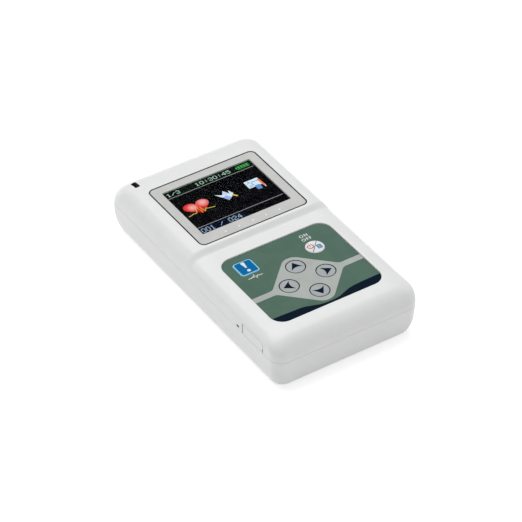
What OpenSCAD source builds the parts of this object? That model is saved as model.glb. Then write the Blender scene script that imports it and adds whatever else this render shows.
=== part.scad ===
// Handheld ECG recorder: two plastic shells, a display half that stands a little proud of the
// keypad half, six sprung keys, a hinged port cover on the left and a tilting battery door below.
// Millimetres. Origin: middle of the footprint, on the resting face. +X right, +Y towards the
// display end, +Z up through the screen.

/* [Body] */
// Width across the sides
body_w = 66.6; // [66:0.2:70]
// Length from the keypad end to the lead end
body_l = 125.6; // [124:0.2:130]
// Height of the keypad half
rim_z = 22.9; // [22.7:0.1:23.5]
// Height of the display half
pad_z = 24.8; // [24.6:0.1:25.4]
// Height of the line where the shells part
parting_z = 13.8; // [13.6:0.1:14]
// Thickness of the shell walls
wall = 1.8; // [1.6:0.1:2]
// Radius of the upright corners
corner_r = 5.3; // [4.5:0.1:6]

/* [Shoulders] */
// Keypad half, side edge: how far it runs inwards
side_run = 6.5; // [5:0.1:6.6]
// Keypad half, side edge: how far it drops
side_rise = 4.8; // [4:0.1:6]
// Display half, side edge: how far it runs inwards
pad_side_run = 7; // [6:0.1:7.4]
// Display half, side edge: how far it drops
pad_side_rise = 8.4; // [7:0.1:10]
// Keypad end, top edge: how far it runs inwards
front_run = 9.8; // [8:0.1:10]
// Keypad end, top edge: how far it drops
front_rise = 8; // [6:0.1:9]
// Lead end, top edge: how far it runs inwards
far_run = 13.3; // [11:0.1:14]
// Lead end, top edge: how far it drops
far_rise = 16.5; // [14:0.1:17]
// Underside edge: how far it runs inwards
foot_run = 2.9; // [2:0.1:3.2]
// Underside edge: how far it rises
foot_rise = 8.3; // [6:0.1:9]
// Lean of the lower walls, measured at the bottom
draft = 0.95; // [0:0.05:1]

/* [Display] */
// Width of the display frame's recess
frame_w = 50.3; // [49.8:0.1:50.6]
// Length of the display frame's recess
frame_l = 42; // [41.6:0.1:42.2]
// Centre of the frame along the body
frame_y = 23.9; // [23.7:0.1:24]
// Width of the screen opening
screen_w = 41.4; // [40.8:0.1:41.8]
// Length of the screen opening
screen_l = 31.2; // [30.8:0.1:31.4]
// Centre of the screen opening along the body
screen_y = 24.9; // [24.7:0.1:25]
// Width of the black line round the frame
gasket_w = 0.45; // [0.3:0.05:0.5]
// Distance between indicator lenses
lamp_pitch = 6.3; // [5:0.1:8]

/* [Keypad] */
// Width of the overlay
overlay_w = 50; // [49:0.1:50.5]
// Length of the overlay
overlay_l = 43.9; // [43:0.1:44.2]
// Centre of the overlay along the body
overlay_y = -29.3; // [-29.6:0.1:-29]
// Height of the overlay's face
overlay_z = 22.4; // [22.2:0.1:22.5]
// Radius of a round key's cap
key_r = 3.7; // [3.4:0.05:3.8]
// Gap round each key
key_gap = 0.25; // [0.2:0.05:0.35]
// Distance of each arrow key from their common centre
arrow_reach = 8.5; // [8.3:0.1:8.8]
// Side of the square mark key
mark_w = 8.1; // [7:0.1:8.4]
// How far a key goes down
key_travel = 0.35; // [0.2:0.05:0.35]

/* [Batteries] */
// Diameter of a cell
cell_d = 14.5; // [14:0.1:14.5]
// Length of a cell with its nub
cell_l = 50.5; // [49.5:0.1:50.5]
// Free length of the bay
bay_l = 55; // [54.5:0.1:55]
// Thickness of the battery door
door_t = 1.6; // [1.4:0.1:1.7]

/* [Ports] */
// Length of the port cover along the side
cover_l = 14.6; // [13:0.1:15]
// Height of the port cover
cover_h = 4.6; // [4.4:0.1:4.7]
// Distance between the jack posts of the lead connector
jack_pitch = 25; // [25:0.1:26]
// Height of the lead connector's centre
socket_z = 11; // [10.5:0.1:11.2]

/* [Hidden] */

$fn = 64;
hull_fn = 24;
skin = 0.01;
reach = 50;

// Body
half_w = body_w / 2;
half_l = body_l / 2;
step_top_y = 2.4;
step_foot_y = -1.2;
join_y = 12;
inner_z = overlay_z - 2.4;
lip_h = 1.0;
lip_t = 0.8;

// Display
frame_t = 0.8;
frame_recess = 0.9;
ledge_z = pad_z - frame_recess;
ledge_t = 1.5;
frame_corner_r = 2.6;
lamp_x = 0.3;
lamp_y = 5.9;
lamp_r = 0.55;
lcd_w = 46.8;
lcd_l = 36.4;
lcd_t = 2.4;
lcd_top_z = ledge_z - 0.2;
holder_w = 47;
holder_l = 37.8;

// Keypad
overlay_t = 0.8;
overlay_corner_r = 5.5;
recess_gap = 0.15;
well_depth = 0.4;
arrows_y = overlay_y - 4.5;
power_at = [13.1, overlay_y + 10.2];
mark_at = [-16.3, overlay_y + 14.2];
stem_r = 1.6;
flange_r = 2.3;
flange_t = 0.4;
cap_proud = 0.1;
cap_t = 0.85;
dome_h = 0.25;
KEYS = [[0, arrows_y + arrow_reach], [0, arrows_y - arrow_reach], [-arrow_reach, arrows_y],
    [arrow_reach, arrows_y], power_at, mark_at];

// Batteries
bay_x = 15.1;
bay_wall = 1.1;
bay_y0 = -57.6;
bay_y1 = bay_y0 + bay_l;
bay_roof_z = 16.8;
bay_roof_t = 0.8;
cell_x = 7.45;
cell_z = 2 + cell_d / 2;
contact_t = 0.4;
door_w = 34;
door_y0 = bay_y0 - 1;
door_y1 = -0.35;
door_gap = 0.2;
tab_x = 10;
tab_w = 5;
floor_z = wall;

// Boards
board_z = 17.9;
board_t = 0.9;
board_top = board_z + board_t;
lower_board_z = 4;
lower_board_t = 1;
lower_board_top = lower_board_z + lower_board_t;
POSTS = [[-26.5, -6], [26.5, -6], [-26.5, 20], [26.5, 20]];
LOWER_POSTS = [[-19, 7], [19, 7], [-19, 47], [19, 47]];
post_r = 2;
screw_hole_r = 0.85;
screw_gap = 0.03;

// Shell screws
SCREWS = [[-26.4, -53.5], [26.4, -53.5], [-26.4, 42], [26.4, 42]];
boss_r = 2.6;
pilot_r = 1.0;
head_r = 1.95;
head_seat_z = 6;
head_h = 1.6;

// Ports
cover_y1 = -38.7;
cover_y0 = cover_y1 - cover_l;
cover_t = 1.5;
cover_z0 = parting_z + 0.15;
cover_top = cover_z0 + cover_h + 0.15;
cover_back_x = -half_w + cover_t + 0.15;
knuckle_r = 0.95;
pin_x = -half_w + knuckle_r;
pin_y = cover_y1 - knuckle_r;
pin_r = 0.45;
usb_y = -46;
usb_w = 7.7;
usb_h = 3.6;
usb_d = 9;
reset_y = -35.6;
reset_z = 15.2;
strap_x = -26.3;
strap_w = 2.2;
strap_y0 = 49.6;
strap_y1 = 54;
strap_floor_z = 15.5;

// Lead connector
flange_w = 33;
flange_h = 14;
flange_y = 56;
connector_flange_t = 0.9;
pocket_w = 32;
pocket_h = 13;
collar_w = 37;
shroud_w = 16.9;
shroud_h = 8.4;
shroud_t = 0.45;
post_end_y = half_l - 0.5;
jack_hole_r = 1.25;

// ---------- shared shapes ----------

// How far a rounded edge is drawn in at a depth below its crown
function edge(depth, run, rise) =
    depth >= rise ? 0 : run * (1 - sqrt(1 - pow((rise - max(depth, 0)) / rise, 2)));

// How far the lower walls are drawn in: their lean, and the rounded underside edge
function foot(z) = draft * max(parting_z - z, 0) / parting_z + edge(z, foot_run, foot_rise);

function side_inset(z) = foot(z) + edge(rim_z - z, side_run, side_rise);
function pad_side_inset(z) = let(shoulder = edge(pad_z - z, pad_side_run, pad_side_rise))
    foot(z) + (z < rim_z ? min(shoulder, edge(rim_z - z, side_run, side_rise)) : shoulder);
function front_inset(z) = foot(z) + edge(rim_z - z, front_run, front_rise);
function far_inset(z) = foot(z) + edge(pad_z - z, far_run, far_rise);

// The step from the display half down to the keypad half
function step_y(z) = let(t = (pad_z - z) / (pad_z - rim_z))
    step_top_y - (step_top_y - step_foot_y) * (1 - pow(1 - min(t, 1), 1.5));

// Heights at which a rounded form is sliced: close together where its edges curve
function dome_levels(top, bottom, n) =
    [for (i = [0:n]) top - (top - bottom) * (1 - cos(90 * i / n))];
function foot_levels(n) = [for (i = [0:n]) foot_rise * (1 - cos(90 * i / n))];

module round_rect(w, l, r) {
    square([w - 2 * r, l], center = true);
    square([w, l - 2 * r], center = true);
    for (x = [-1, 1], y = [-1, 1])
        translate([x * (w / 2 - r), y * (l / 2 - r)])
            circle(r);
}

module plate(w, l, r, z, t, y = 0) {
    translate([0, y, z])
        linear_extrude(t)
            round_rect(w, l, r);
}

module box(x0, x1, y0, y1, z0, z1) {
    translate([x0, y0, z0])
        cube([x1 - x0, y1 - y0, z1 - z0]);
}

module post(at, r, z0, z1) {
    translate([at[0], at[1], z0])
        cylinder(r = r, h = z1 - z0);
}

// One thin slice of the body
module slice(z, w, y0, y1, r) {
    translate([0, (y0 + y1) / 2, z])
        linear_extrude(skin)
            round_rect(w, y1 - y0, r, $fn = hull_fn);
}

// The keypad-high form, over the whole length or up to where the display half takes over.
// t is the wall left outside it: 0 gives the outside.
module low_form(levels, t = 0, whole = true) {
    hull()
        for (z = levels)
            slice(z, body_w - 2 * side_inset(z + t) - 2 * t, -half_l + front_inset(z + t) + t,
                whole ? half_l - far_inset(z + t) - t : join_y - t,
                max(corner_r - t - 0.3 * foot(z), 1));
}

// The display half, which stands above it
module pad_form(levels, t = 0) {
    hull()
        for (z = levels)
            slice(z, body_w - 2 * pad_side_inset(z + t) - 2 * t, step_y(z) + 2.4 * t,
                half_l - far_inset(z + t) - t, max(corner_r - t, 1));
}

module pocket(grow = 0) {
    translate([0, flange_y + connector_flange_t, socket_z])
        rotate([-90, 0, 0])
            linear_extrude(reach)
                round_rect(pocket_w + grow, pocket_h + grow, 1.5);
}

// Collar that holds the lead connector's flange between the shells
module collar(z0, z1) {
    difference() {
        union() {
            box(-collar_w / 2, collar_w / 2, 54.9, 58.6, z0, z1);
            box(-collar_w / 2, collar_w / 2, 54.9, 61, max(z0, 3), min(z1, 16));
        }
        pocket();
        box(-flange_w / 2 - 0.1, flange_w / 2 + 0.1, flange_y, flange_y + connector_flange_t,
            socket_z - flange_h / 2 - 0.1, socket_z + flange_h / 2 + 0.1);
        box(-15, 15, 50, flange_y + skin, socket_z - 5.6, socket_z + 5.6);
    }
}

module d_outline(w, h, r = 1.5) {
    lean = 0.7;
    hull()
        for (x = [-1, 1], z = [-1, 1])
            translate([x * (w / 2 - r - (z < 0 ? lean : 0)), z * (h / 2 - r)])
                circle(r, $fn = hull_fn);
}

// ---------- shells ----------

module top_shell() {
    color("whitesmoke")
        difference() {
            union() {
                difference() {
                    union() {
                        low_form(concat([parting_z], dome_levels(rim_z - skin, rim_z - front_rise, 8)),
                            0, false);
                        pad_form(concat([parting_z], dome_levels(pad_z - skin, pad_z - pad_side_rise, 9)));
                    }
                    low_form(concat([parting_z - 1],
                        dome_levels(rim_z - wall, rim_z - front_rise, 5)), wall, false);
                    pad_form(concat([parting_z - 1],
                        dome_levels(pad_z - wall, pad_z - pad_side_rise, 5)), wall);
                }
                plate(overlay_w + 3, overlay_l + 3, overlay_corner_r + 1.5, inner_z,
                    rim_z - inner_z - 1, overlay_y);
                difference() {
                    plate(frame_w + 1.2, frame_l + 1.2, frame_corner_r, ledge_z - ledge_t, ledge_t,
                        frame_y);
                    box(-lcd_w / 2 - 0.3, lcd_w / 2 + 0.3, screen_y - lcd_l / 2 - 0.3,
                        screen_y + lcd_l / 2 + 0.3, 0, reach);
                }
                for (at = SCREWS)
                    post(at, boss_r, parting_z, inner_z + (at[1] > 0 ? 2 : 0.6));
                for (at = POSTS)
                    post(at, post_r, board_top, at[1] > 0 ? 22.7 : 21.3);
                collar(parting_z, 19.5);
                strap_bar_walls();
                // frame behind the port cover
                box(-half_w + 1, -30.4, cover_y0 - 1.2, cover_y1 + 1.6, parting_z, 19.3);
            }
            // display frame recess and screen opening
            plate(frame_w, frame_l, frame_corner_r, ledge_z, reach, frame_y);
            box(-lcd_w / 2 - 0.3, lcd_w / 2 + 0.3, screen_y - lcd_l / 2 - 0.3,
                screen_y + lcd_l / 2 + 0.3, ledge_z - ledge_t - skin, reach);
            // keypad recess, key wells and stem holes
            plate(overlay_w + 2 * recess_gap, overlay_l + 2 * recess_gap,
                overlay_corner_r + recess_gap, overlay_z - overlay_t, reach, overlay_y);
            for (at = KEYS) {
                post(at, key_r + key_gap + 0.15, overlay_z - overlay_t - well_depth, reach);
                post(at, stem_r + 0.25, inner_z - 1, reach);
            }
            translate([mark_at[0], mark_at[1], overlay_z - overlay_t - well_depth])
                linear_extrude(reach)
                    round_rect(mark_w + 0.8, mark_w + 0.8, 1.4);
            // screws
            for (at = SCREWS)
                post(at, pilot_r, parting_z - skin, inner_z - 0.5);
            for (at = POSTS)
                post(at, screw_hole_r, board_top - skin, board_top + 2.4);
            // lip of the bottom shell
            lip(0.1, 0.1);
            // left side: port opening, hinge pocket and pin hole, reset pinhole
            box(-half_w - 1, cover_back_x, cover_y0 - 0.15, pin_y, parting_z - 1, cover_top);
            box(-half_w - 1, pin_x, pin_y - 1, cover_y1 + 0.15, parting_z - 1, cover_top);
            post([pin_x, pin_y], knuckle_r + 0.15, parting_z - 1, cover_top);
            box(-half_w, 0, usb_y - usb_w / 2 - 0.2, usb_y + usb_w / 2 + 0.2, parting_z - 1,
                board_z + 0.2);
            post([pin_x, pin_y], pin_r + 0.01, parting_z, cover_top + 0.95);
            translate([-half_w - 1, reset_y, reset_z])
                rotate([0, 90, 0])
                    linear_extrude(3)
                        round_rect(0.9, 1.8, 0.4);
            // lanyard slot at the far left corner, and the lead connector's pocket
            strap_tunnel();
            pocket();
        }
}

// Solid round the lanyard slot, inside the far left corner
module strap_bar_walls() {
    x0 = strap_x - strap_w / 2 - 1;
    x1 = strap_x + strap_w / 2 + 1;
    box(x0, x1, strap_y0 - 1, strap_y1 + 1.5, strap_floor_z - 1, 22);
    box(x0, x1, strap_y0 - 1, 59, strap_floor_z - 1, 18.5);
}

// The slot goes down from the top, turns, and leaves through the end face
module strap_tunnel() {
    translate([strap_x, 0, 0]) {
        translate([0, (strap_y0 + strap_y1) / 2, strap_floor_z])
            linear_extrude(reach)
                round_rect(strap_w, strap_y1 - strap_y0, 0.5);
        box(-strap_w / 2, strap_w / 2, strap_y1 - 1, half_l + 1, strap_floor_z, strap_floor_z + 2.2);
    }
}

// Lip that centres the shells on each other. The port opening interrupts it.
module lip(grow = 0, rise = 0) {
    t = 1.0 - grow;
    far_y = half_l - far_inset(parting_z) - t;
    near_y = -half_l + front_inset(parting_z) + t;
    mid_y = (far_y + near_y) / 2;
    difference() {
        plate(body_w - 2 * t, far_y - near_y, corner_r - 1, parting_z - (grow > 0 ? skin : 1),
            lip_h + rise + (grow > 0 ? skin : 1), mid_y);
        plate(body_w - 2 * (t + lip_t + grow), far_y - near_y - 2 * (lip_t + grow),
            corner_r - 1.6, parting_z - 2, reach, mid_y);
        if (grow == 0) {
            box(-half_w, -27, cover_y0 - 1.4, reset_y + 2, 0, reach);
        }
    }
}

module bottom_shell() {
    color("white")
        difference() {
            union() {
                difference() {
                    low_form(concat(foot_levels(7), [parting_z - skin]));
                    low_form(concat([for (i = [0:5]) floor_z + foot_rise * (1 - cos(90 * i / 5))],
                        [parting_z + 1]), wall);
                }
                intersection() {
                    lip();
                    box(-half_w, half_w, -half_l, half_l, parting_z - 1, parting_z + lip_h);
                }
                box(-bay_x - bay_wall, bay_x + bay_wall, bay_y0 - bay_wall, bay_y1 + bay_wall,
                    1, bay_roof_z + bay_roof_t);
                box(-door_w / 2 - 1.3, door_w / 2 + 1.3, door_y0 - 1.2, door_y1 + 1.3, 1, 3);
                for (at = SCREWS)
                    post(at, boss_r + 0.8, 1, parting_z);
                for (at = LOWER_POSTS)
                    post(at, post_r, 1, lower_board_z);
                collar(1.5, parting_z - skin);
            }
            // battery bay, door opening, and slots for the door's tabs
            box(-bay_x, bay_x, bay_y0, bay_y1, -1, bay_roof_z);
            box(-door_w / 2 - door_gap, door_w / 2 + door_gap, door_y0 - door_gap,
                door_y1 + 0.15, -1, door_t + 0.1);
            for (x = [-tab_x, tab_x]) {
                box(x - tab_w / 2 - 0.5, x + tab_w / 2 + 0.5, bay_y1 - 1, door_y1 + 0.15, -1, 3.4);
                box(x - tab_w / 2 - 0.5, x + tab_w / 2 + 0.5, bay_y1 - 1, door_y1 + 2, floor_z, 3.4);
            }
            // screw holes and head wells
            for (at = SCREWS) {
                post(at, pilot_r + 0.35, 0.5, parting_z + 1);
                post(at, head_r + 0.25, -1, head_seat_z);
            }
            for (at = LOWER_POSTS)
                post(at, screw_hole_r, lower_board_z - 2, lower_board_z + skin);
            // recess for the label, and the lead connector's pocket
            plate(44.4, 32.4, 2.2, -1, 1.3, 30);
            pocket();
        }
}

// ---------- doors ----------

module battery_door() {
    color("white")
        difference() {
            union() {
                box(-door_w / 2, door_w / 2, door_y0, door_y1, 0, door_t);
                // tabs that hook over the shell's edge
                for (x = [-tab_x, tab_x]) {
                    box(x - tab_w / 2, x + tab_w / 2, door_y1 - 1, door_y1 - 0.1, door_t, 2.6);
                    box(x - tab_w / 2, x + tab_w / 2, door_y1 - 0.1, door_y1 + 1.5, 1.9, 2.6);
                }
            }
            // grip: a thumb dish with grooves
            translate([0, door_y0 + 9, -9.4])
                sphere(r = 10);
            for (i = [0:4])
                box(-6 + 0.4 * i, 6 - 0.4 * i, door_y0 + 15 + 2 * i, door_y0 + 15.8 + 2 * i, -1, 0.4);
        }
}

module port_cover() {
    z1 = cover_z0 + cover_h;
    color("white")
        difference() {
            union() {
                box(-half_w, -half_w + cover_t, cover_y0, pin_y, cover_z0, z1);
                post([pin_x, pin_y], knuckle_r, cover_z0, z1);
            }
            post([pin_x, pin_y], pin_r + 0.05, 0, reach);
            // nail notch at the free end
            translate([-half_w - 0.5, cover_y0, cover_z0 + 1.1])
                rotate([0, 90, 0])
                    cylinder(r = 0.8, h = 1.2);
        }
}

module port_cover_pin() {
    color("silver")
        post([pin_x, pin_y], pin_r, parting_z + 0.02, cover_z0 + cover_h + 1);
}

// ---------- display ----------

module display_frame() {
    color("lightgray")
        difference() {
            plate(frame_w - 2 * gasket_w, frame_l - 2 * gasket_w, frame_corner_r - gasket_w,
                ledge_z, frame_t, frame_y);
            plate(screen_w, screen_l, 0.4, 0, reach, screen_y);
            for (i = [-2:2])
                post([lamp_x + i * lamp_pitch, lamp_y], lamp_r + 0.02, 0, reach);
        }
}

module frame_gasket() {
    color("black")
        difference() {
            plate(frame_w - 0.04, frame_l - 0.04, frame_corner_r, ledge_z, frame_t - 0.1, frame_y);
            plate(frame_w - 2 * gasket_w + 0.02, frame_l - 2 * gasket_w + 0.02,
                frame_corner_r - gasket_w, 0, reach, frame_y);
        }
}

module display_lens() {
    color("lightblue", 0.4)
        plate(screen_w - 0.1, screen_l - 0.1, 0.35, lcd_top_z, 0.85, screen_y);
}

module indicator_lenses() {
    color("white")
        for (i = [-2:2])
            post([lamp_x + i * lamp_pitch, lamp_y], lamp_r, ledge_z, ledge_z + frame_t + 0.05);
}

module lcd_panel() {
    color("darkslategray")
        plate(lcd_w, lcd_l, 0.5, lcd_top_z - lcd_t, lcd_t, screen_y);
}

module lcd_holder() {
    color("gainsboro")
        difference() {
            plate(holder_w, holder_l, 1, board_top, lcd_top_z - lcd_t - board_top, screen_y);
            plate(holder_w - 4, holder_l - 4, 0.5, 0, reach, screen_y);
            box(-9.4, 9.4, 0, screen_y - holder_l / 2 + 3, 0, reach);
        }
}

// Ribbon from the panel's near edge, over and down to the board
module lcd_flex() {
    edge_y = screen_y - lcd_l / 2;
    z1 = lcd_top_z - lcd_t + 0.6;
    z0 = board_top + 1;
    color("darkorange") {
        box(-8, 8, edge_y - 2.6, edge_y, z1, z1 + 0.2);
        box(-8, 8, edge_y - 2.8, edge_y - 2.6, z0, z1 + 0.2);
        box(-8, 8, edge_y - 5.2, edge_y - 2.8, z0, z0 + 0.2);
    }
}

// ---------- keypad ----------

module keypad_overlay() {
    color("darkseagreen")
        difference() {
            plate(overlay_w, overlay_l, overlay_corner_r, overlay_z - overlay_t, overlay_t, overlay_y);
            for (i = [0:4])
                post(KEYS[i], key_r + key_gap, 0, reach);
            translate([mark_at[0], mark_at[1], 0])
                linear_extrude(reach)
                    round_rect(mark_w + 2 * key_gap, mark_w + 2 * key_gap, 1.2 + key_gap);
        }
}

// Stem and flange under a cap: the flange stops it from lifting out
module key_stem(at) {
    post(at, stem_r, inner_z - 0.1 - skin, overlay_z + cap_proud - cap_t + skin);
    post(at, flange_r, inner_z - 0.1 - flange_t, inner_z - 0.1);
}

module round_key(at) {
    post(at, key_r, overlay_z + cap_proud - cap_t, overlay_z + cap_proud);
    key_stem(at);
}

module key_up() {
    color("lightsteelblue")
        round_key(KEYS[0]);
}

module key_down() {
    color("lightsteelblue")
        round_key(KEYS[1]);
}

module key_left() {
    color("lightsteelblue")
        round_key(KEYS[2]);
}

module key_right() {
    color("lightsteelblue")
        round_key(KEYS[3]);
}

module key_power() {
    color("white")
        round_key(KEYS[4]);
}

module key_mark() {
    color("royalblue") {
        translate([mark_at[0], mark_at[1], overlay_z + cap_proud - cap_t])
            linear_extrude(cap_t)
                round_rect(mark_w, mark_w, 1.2);
        key_stem(KEYS[5]);
    }
}

// Snap domes on the board, one under each stem
module key_domes() {
    color("silver")
        for (at = KEYS)
            post(at, 2.4, board_top, board_top + dome_h);
}

// ---------- boards ----------

module main_board() {
    color("darkgreen")
        difference() {
            plate(58, 103.4, 2, board_z, board_t, -5.7);
            for (at = SCREWS)
                post(at, boss_r + 0.4, 0, reach);
            for (at = SCREWS)
                box(min(at[0], sign(at[0]) * reach), max(at[0], sign(at[0]) * reach),
                    at[1] - boss_r - 0.4, at[1] + boss_r + 0.4, 0, reach);
            for (at = POSTS)
                post(at, screw_hole_r + 0.2, 0, reach);
        }
}

module main_board_chips() {
    color("dimgray") {
        // ribbon socket beside the display, processor and memory under the screen
        box(-9, 9, -1.6, 1.3, board_top, board_top + 1.4);
        box(-7, 7, 18, 32, board_top, board_top + 1.4);
        box(10, 18, 20, 32, board_top, board_top + 1.1);
        box(-18, -12, 20, 26, board_top, board_top + 1.1);
        // supply parts below, beside the battery bay
        box(18, 25, -40, -33, board_z - 3, board_z);
        box(-25, -19, -25, -19, board_z - 2.4, board_z);
    }
}

// One screw, driven along +Z when dir is 1 and along -Z when it is -1
module board_screw(at, seat_z, dir) {
    translate([at[0], at[1], seat_z])
        mirror([0, 0, dir > 0 ? 0 : 1]) {
            translate([0, 0, -1.1])
                cylinder(r = 1.6, h = 1.1);
            cylinder(r = screw_hole_r - screw_gap, h = 2.7);
        }
}

module board_screws() {
    color("silver") {
        for (at = POSTS)
            board_screw(at, board_z, 1);
        for (at = LOWER_POSTS)
            board_screw(at, lower_board_top, -1);
    }
}

// Tall header between the two boards
module board_link() {
    color("dimgray")
        box(17.6, 20.6, 16, 36, lower_board_top, board_z);
}

module front_end_board() {
    color("darkgreen")
        difference() {
            plate(44, 50, 1.5, lower_board_z, lower_board_t, 27);
            for (at = LOWER_POSTS)
                post(at, screw_hole_r + 0.2, 0, reach);
        }
}

module front_end_chips() {
    color("dimgray") {
        for (i = [0:3])
            box(-10 + 6 * i, -6 + 6 * i, 42, 48, lower_board_top, lower_board_top + 0.9);
        box(-2, 5, 5, 12, lower_board_top, lower_board_top + 1.2);
        box(8, 14, 5, 11, lower_board_top, lower_board_top + 2.4);
    }
}

module front_end_shield() {
    color("silver")
        difference() {
            box(-16, 16, 18, 38, lower_board_top, lower_board_top + 3.6);
            box(-15.7, 15.7, 18.3, 37.7, 0, lower_board_top + 3.3);
        }
}

module clock_cell() {
    color("silver")
        post([-11, 11], 6.2, lower_board_top, lower_board_top + 2);
}

// ---------- ports ----------

module lead_connector() {
    color("silver")
        translate([0, flange_y, socket_z])
            rotate([90, 0, 180]) {
                difference() {
                    linear_extrude(connector_flange_t)
                        round_rect(flange_w, flange_h, 0.5);
                    translate([0, 0, -1])
                        linear_extrude(reach)
                            d_outline(shroud_w - 2 * shroud_t, shroud_h - 2 * shroud_t);
                    for (x = [-1, 1])
                        translate([x * jack_pitch / 2, 0, -1])
                            cylinder(r = jack_hole_r + 0.3, h = 10);
                }
                difference() {
                    linear_extrude(half_l - 0.3 - flange_y)
                        d_outline(shroud_w, shroud_h);
                    translate([0, 0, -1])
                        linear_extrude(reach)
                            d_outline(shroud_w - 2 * shroud_t, shroud_h - 2 * shroud_t);
                }
            }
}

// Insulator with fifteen contact holes in three rows, and its body behind the flange
module lead_contacts() {
    color("black")
        translate([0, flange_y, socket_z])
            rotate([90, 0, 180])
                difference() {
                    union() {
                        linear_extrude(half_l - 0.6 - flange_y)
                            d_outline(shroud_w - 2 * shroud_t - 0.1, shroud_h - 2 * shroud_t - 0.1);
                        translate([-12.2, -5.3, -5])
                            cube([24.4, 10.6, 5]);
                    }
                    for (row = [-1:1], i = [-2:2])
                        translate([(i + (row == 0 ? 0.25 : -0.25)) * 2.29, row * 1.98, 2])
                            cylinder(r = 0.5, h = 10);
                    // nuts of the jack posts
                    for (x = [-1, 1])
                        translate([x * jack_pitch / 2, 0, -6])
                            cylinder(r = jack_hole_r + 0.3, h = 10);
                }
}

module jack_posts() {
    color("silver")
        for (x = [-1, 1])
            translate([x * jack_pitch / 2, post_end_y, socket_z])
                rotate([90, 0, 0])
                    difference() {
                        union() {
                            cylinder(r = 2.7, h = post_end_y - flange_y - connector_flange_t, $fn = 6);
                            cylinder(r = jack_hole_r + 0.25, h = post_end_y - flange_y + 3);
                        }
                        translate([0, 0, -1])
                            cylinder(r = jack_hole_r - 0.05, h = 6);
                    }
}

module usb_port() {
    x0 = -half_w + 2.2;
    z0 = board_z - usb_h;
    color("silver") {
        difference() {
            box(x0, x0 + usb_d, usb_y - usb_w / 2, usb_y + usb_w / 2, z0, board_z);
            box(x0 - 1, x0 + usb_d - 1, usb_y - usb_w / 2 + 0.35, usb_y + usb_w / 2 - 0.35,
                z0 + 0.35, board_z - 0.35);
        }
        box(x0 + 1, x0 + usb_d - 0.9, usb_y - 2.4, usb_y + 2.4, z0 + 1.4, z0 + 2.1);
    }
}

module reset_switch() {
    color("dimgray") {
        box(-29.6, -26.4, reset_y - 2, reset_y + 2, board_z - 3.6, board_z);
        translate([-30.2, reset_y, reset_z])
            rotate([0, 90, 0])
                cylinder(r = 0.6, h = 0.7);
    }
}

module beeper() {
    color("black")
        difference() {
            post([22, -22], 4.5, board_z - 3.6, board_z);
            post([22, -22], 0.8, 0, board_z - 2.6);
        }
}

// ---------- power ----------

// A cell along Y: dir is the end that carries the nub
module cell(x, dir) {
    length = cell_l - 1;
    middle = (bay_y0 + bay_y1) / 2 + dir * (bay_l / 2 - contact_t - cell_l / 2);
    translate([x, middle - dir * 0.5, cell_z])
        rotate([90, 0, 0]) {
            cylinder(d = cell_d, h = length, center = true);
            translate([0, 0, -dir * (length / 2 + 0.495)])
                cylinder(d = 5.4, h = 1.01, center = true);
        }
}

module battery_cell_1() {
    color("goldenrod")
        cell(-cell_x, 1);
}

module battery_cell_2() {
    color("goldenrod")
        cell(cell_x, -1);
}

// Joins the two cells at the keypad end
module bridge_contact() {
    color("silver")
        box(-13.5, 13.5, bay_y0, bay_y0 + contact_t, 4, 14);
}

module terminal_contacts() {
    color("silver")
        for (x = [-1, 1])
            box(x * cell_x - 5.5, x * cell_x + 5.5, bay_y1 - contact_t, bay_y1, 4, 14);
}

// Springs at each cell's flat end, shown as their outer cone
module contact_springs() {
    gap = bay_l - 2 * contact_t - cell_l;
    color("silver")
        for (side = [-1, 1])
            translate([side * cell_x, side < 0 ? bay_y0 + contact_t : bay_y1 - contact_t, cell_z])
                rotate([side < 0 ? -90 : 90, 0, 0])
                    difference() {
                        cylinder(r1 = 4.6, r2 = 3, h = gap);
                        translate([0, 0, -1])
                            cylinder(r = 1.8, h = gap + 2);
                    }
}

// ---------- fasteners and label ----------

module shell_screws() {
    color("silver")
        for (at = SCREWS)
            difference() {
                union() {
                    post(at, head_r, head_seat_z - head_h, head_seat_z);
                    post(at, pilot_r - screw_gap, head_seat_z, inner_z - 1);
                }
                // cross recess
                for (turn = [0, 90])
                    translate([at[0], at[1], head_seat_z - head_h])
                        rotate(turn)
                            cube([2.2, 0.6, 1.6], center = true);
            }
}

module back_label() {
    color("lightgray")
        plate(44, 32, 2, 0.1, 0.2, 30);
}

top_shell();
bottom_shell();
battery_door();
port_cover();
port_cover_pin();
display_frame();
frame_gasket();
display_lens();
indicator_lenses();
lcd_panel();
lcd_holder();
lcd_flex();
keypad_overlay();
key_up();
key_down();
key_left();
key_right();
key_power();
key_mark();
key_domes();
main_board();
main_board_chips();
board_screws();
board_link();
front_end_board();
front_end_chips();
front_end_shield();
clock_cell();
lead_connector();
lead_contacts();
jack_posts();
usb_port();
reset_switch();
beeper();
battery_cell_1();
battery_cell_2();
bridge_contact();
terminal_contacts();
contact_springs();
shell_screws();
back_label();
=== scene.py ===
# %% [markdown]
# # A handheld heart recorder
# This notebook dresses a CAD model of a pocket heart recorder: two glossy white shells, a colour
# screen in a grey frame, a printed membrane keypad, a port cover and a battery door. The CAD model
# is the frame: it already holds every part in its place and says what moves. Blender adds the soft
# shapes and the finishes. Everything is in metres, but the shapes below are worked out in
# millimetres, because that is how such a product is drawn, and scaled once at the end.

# %% Load the frame
from functools import partialmethod
from math import cos, pi, radians, sin, sqrt

import bmesh
import bpy
import numpy as np
from mathutils import Matrix, Vector
from mathutils.geometry import delaunay_2d_cdt


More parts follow.
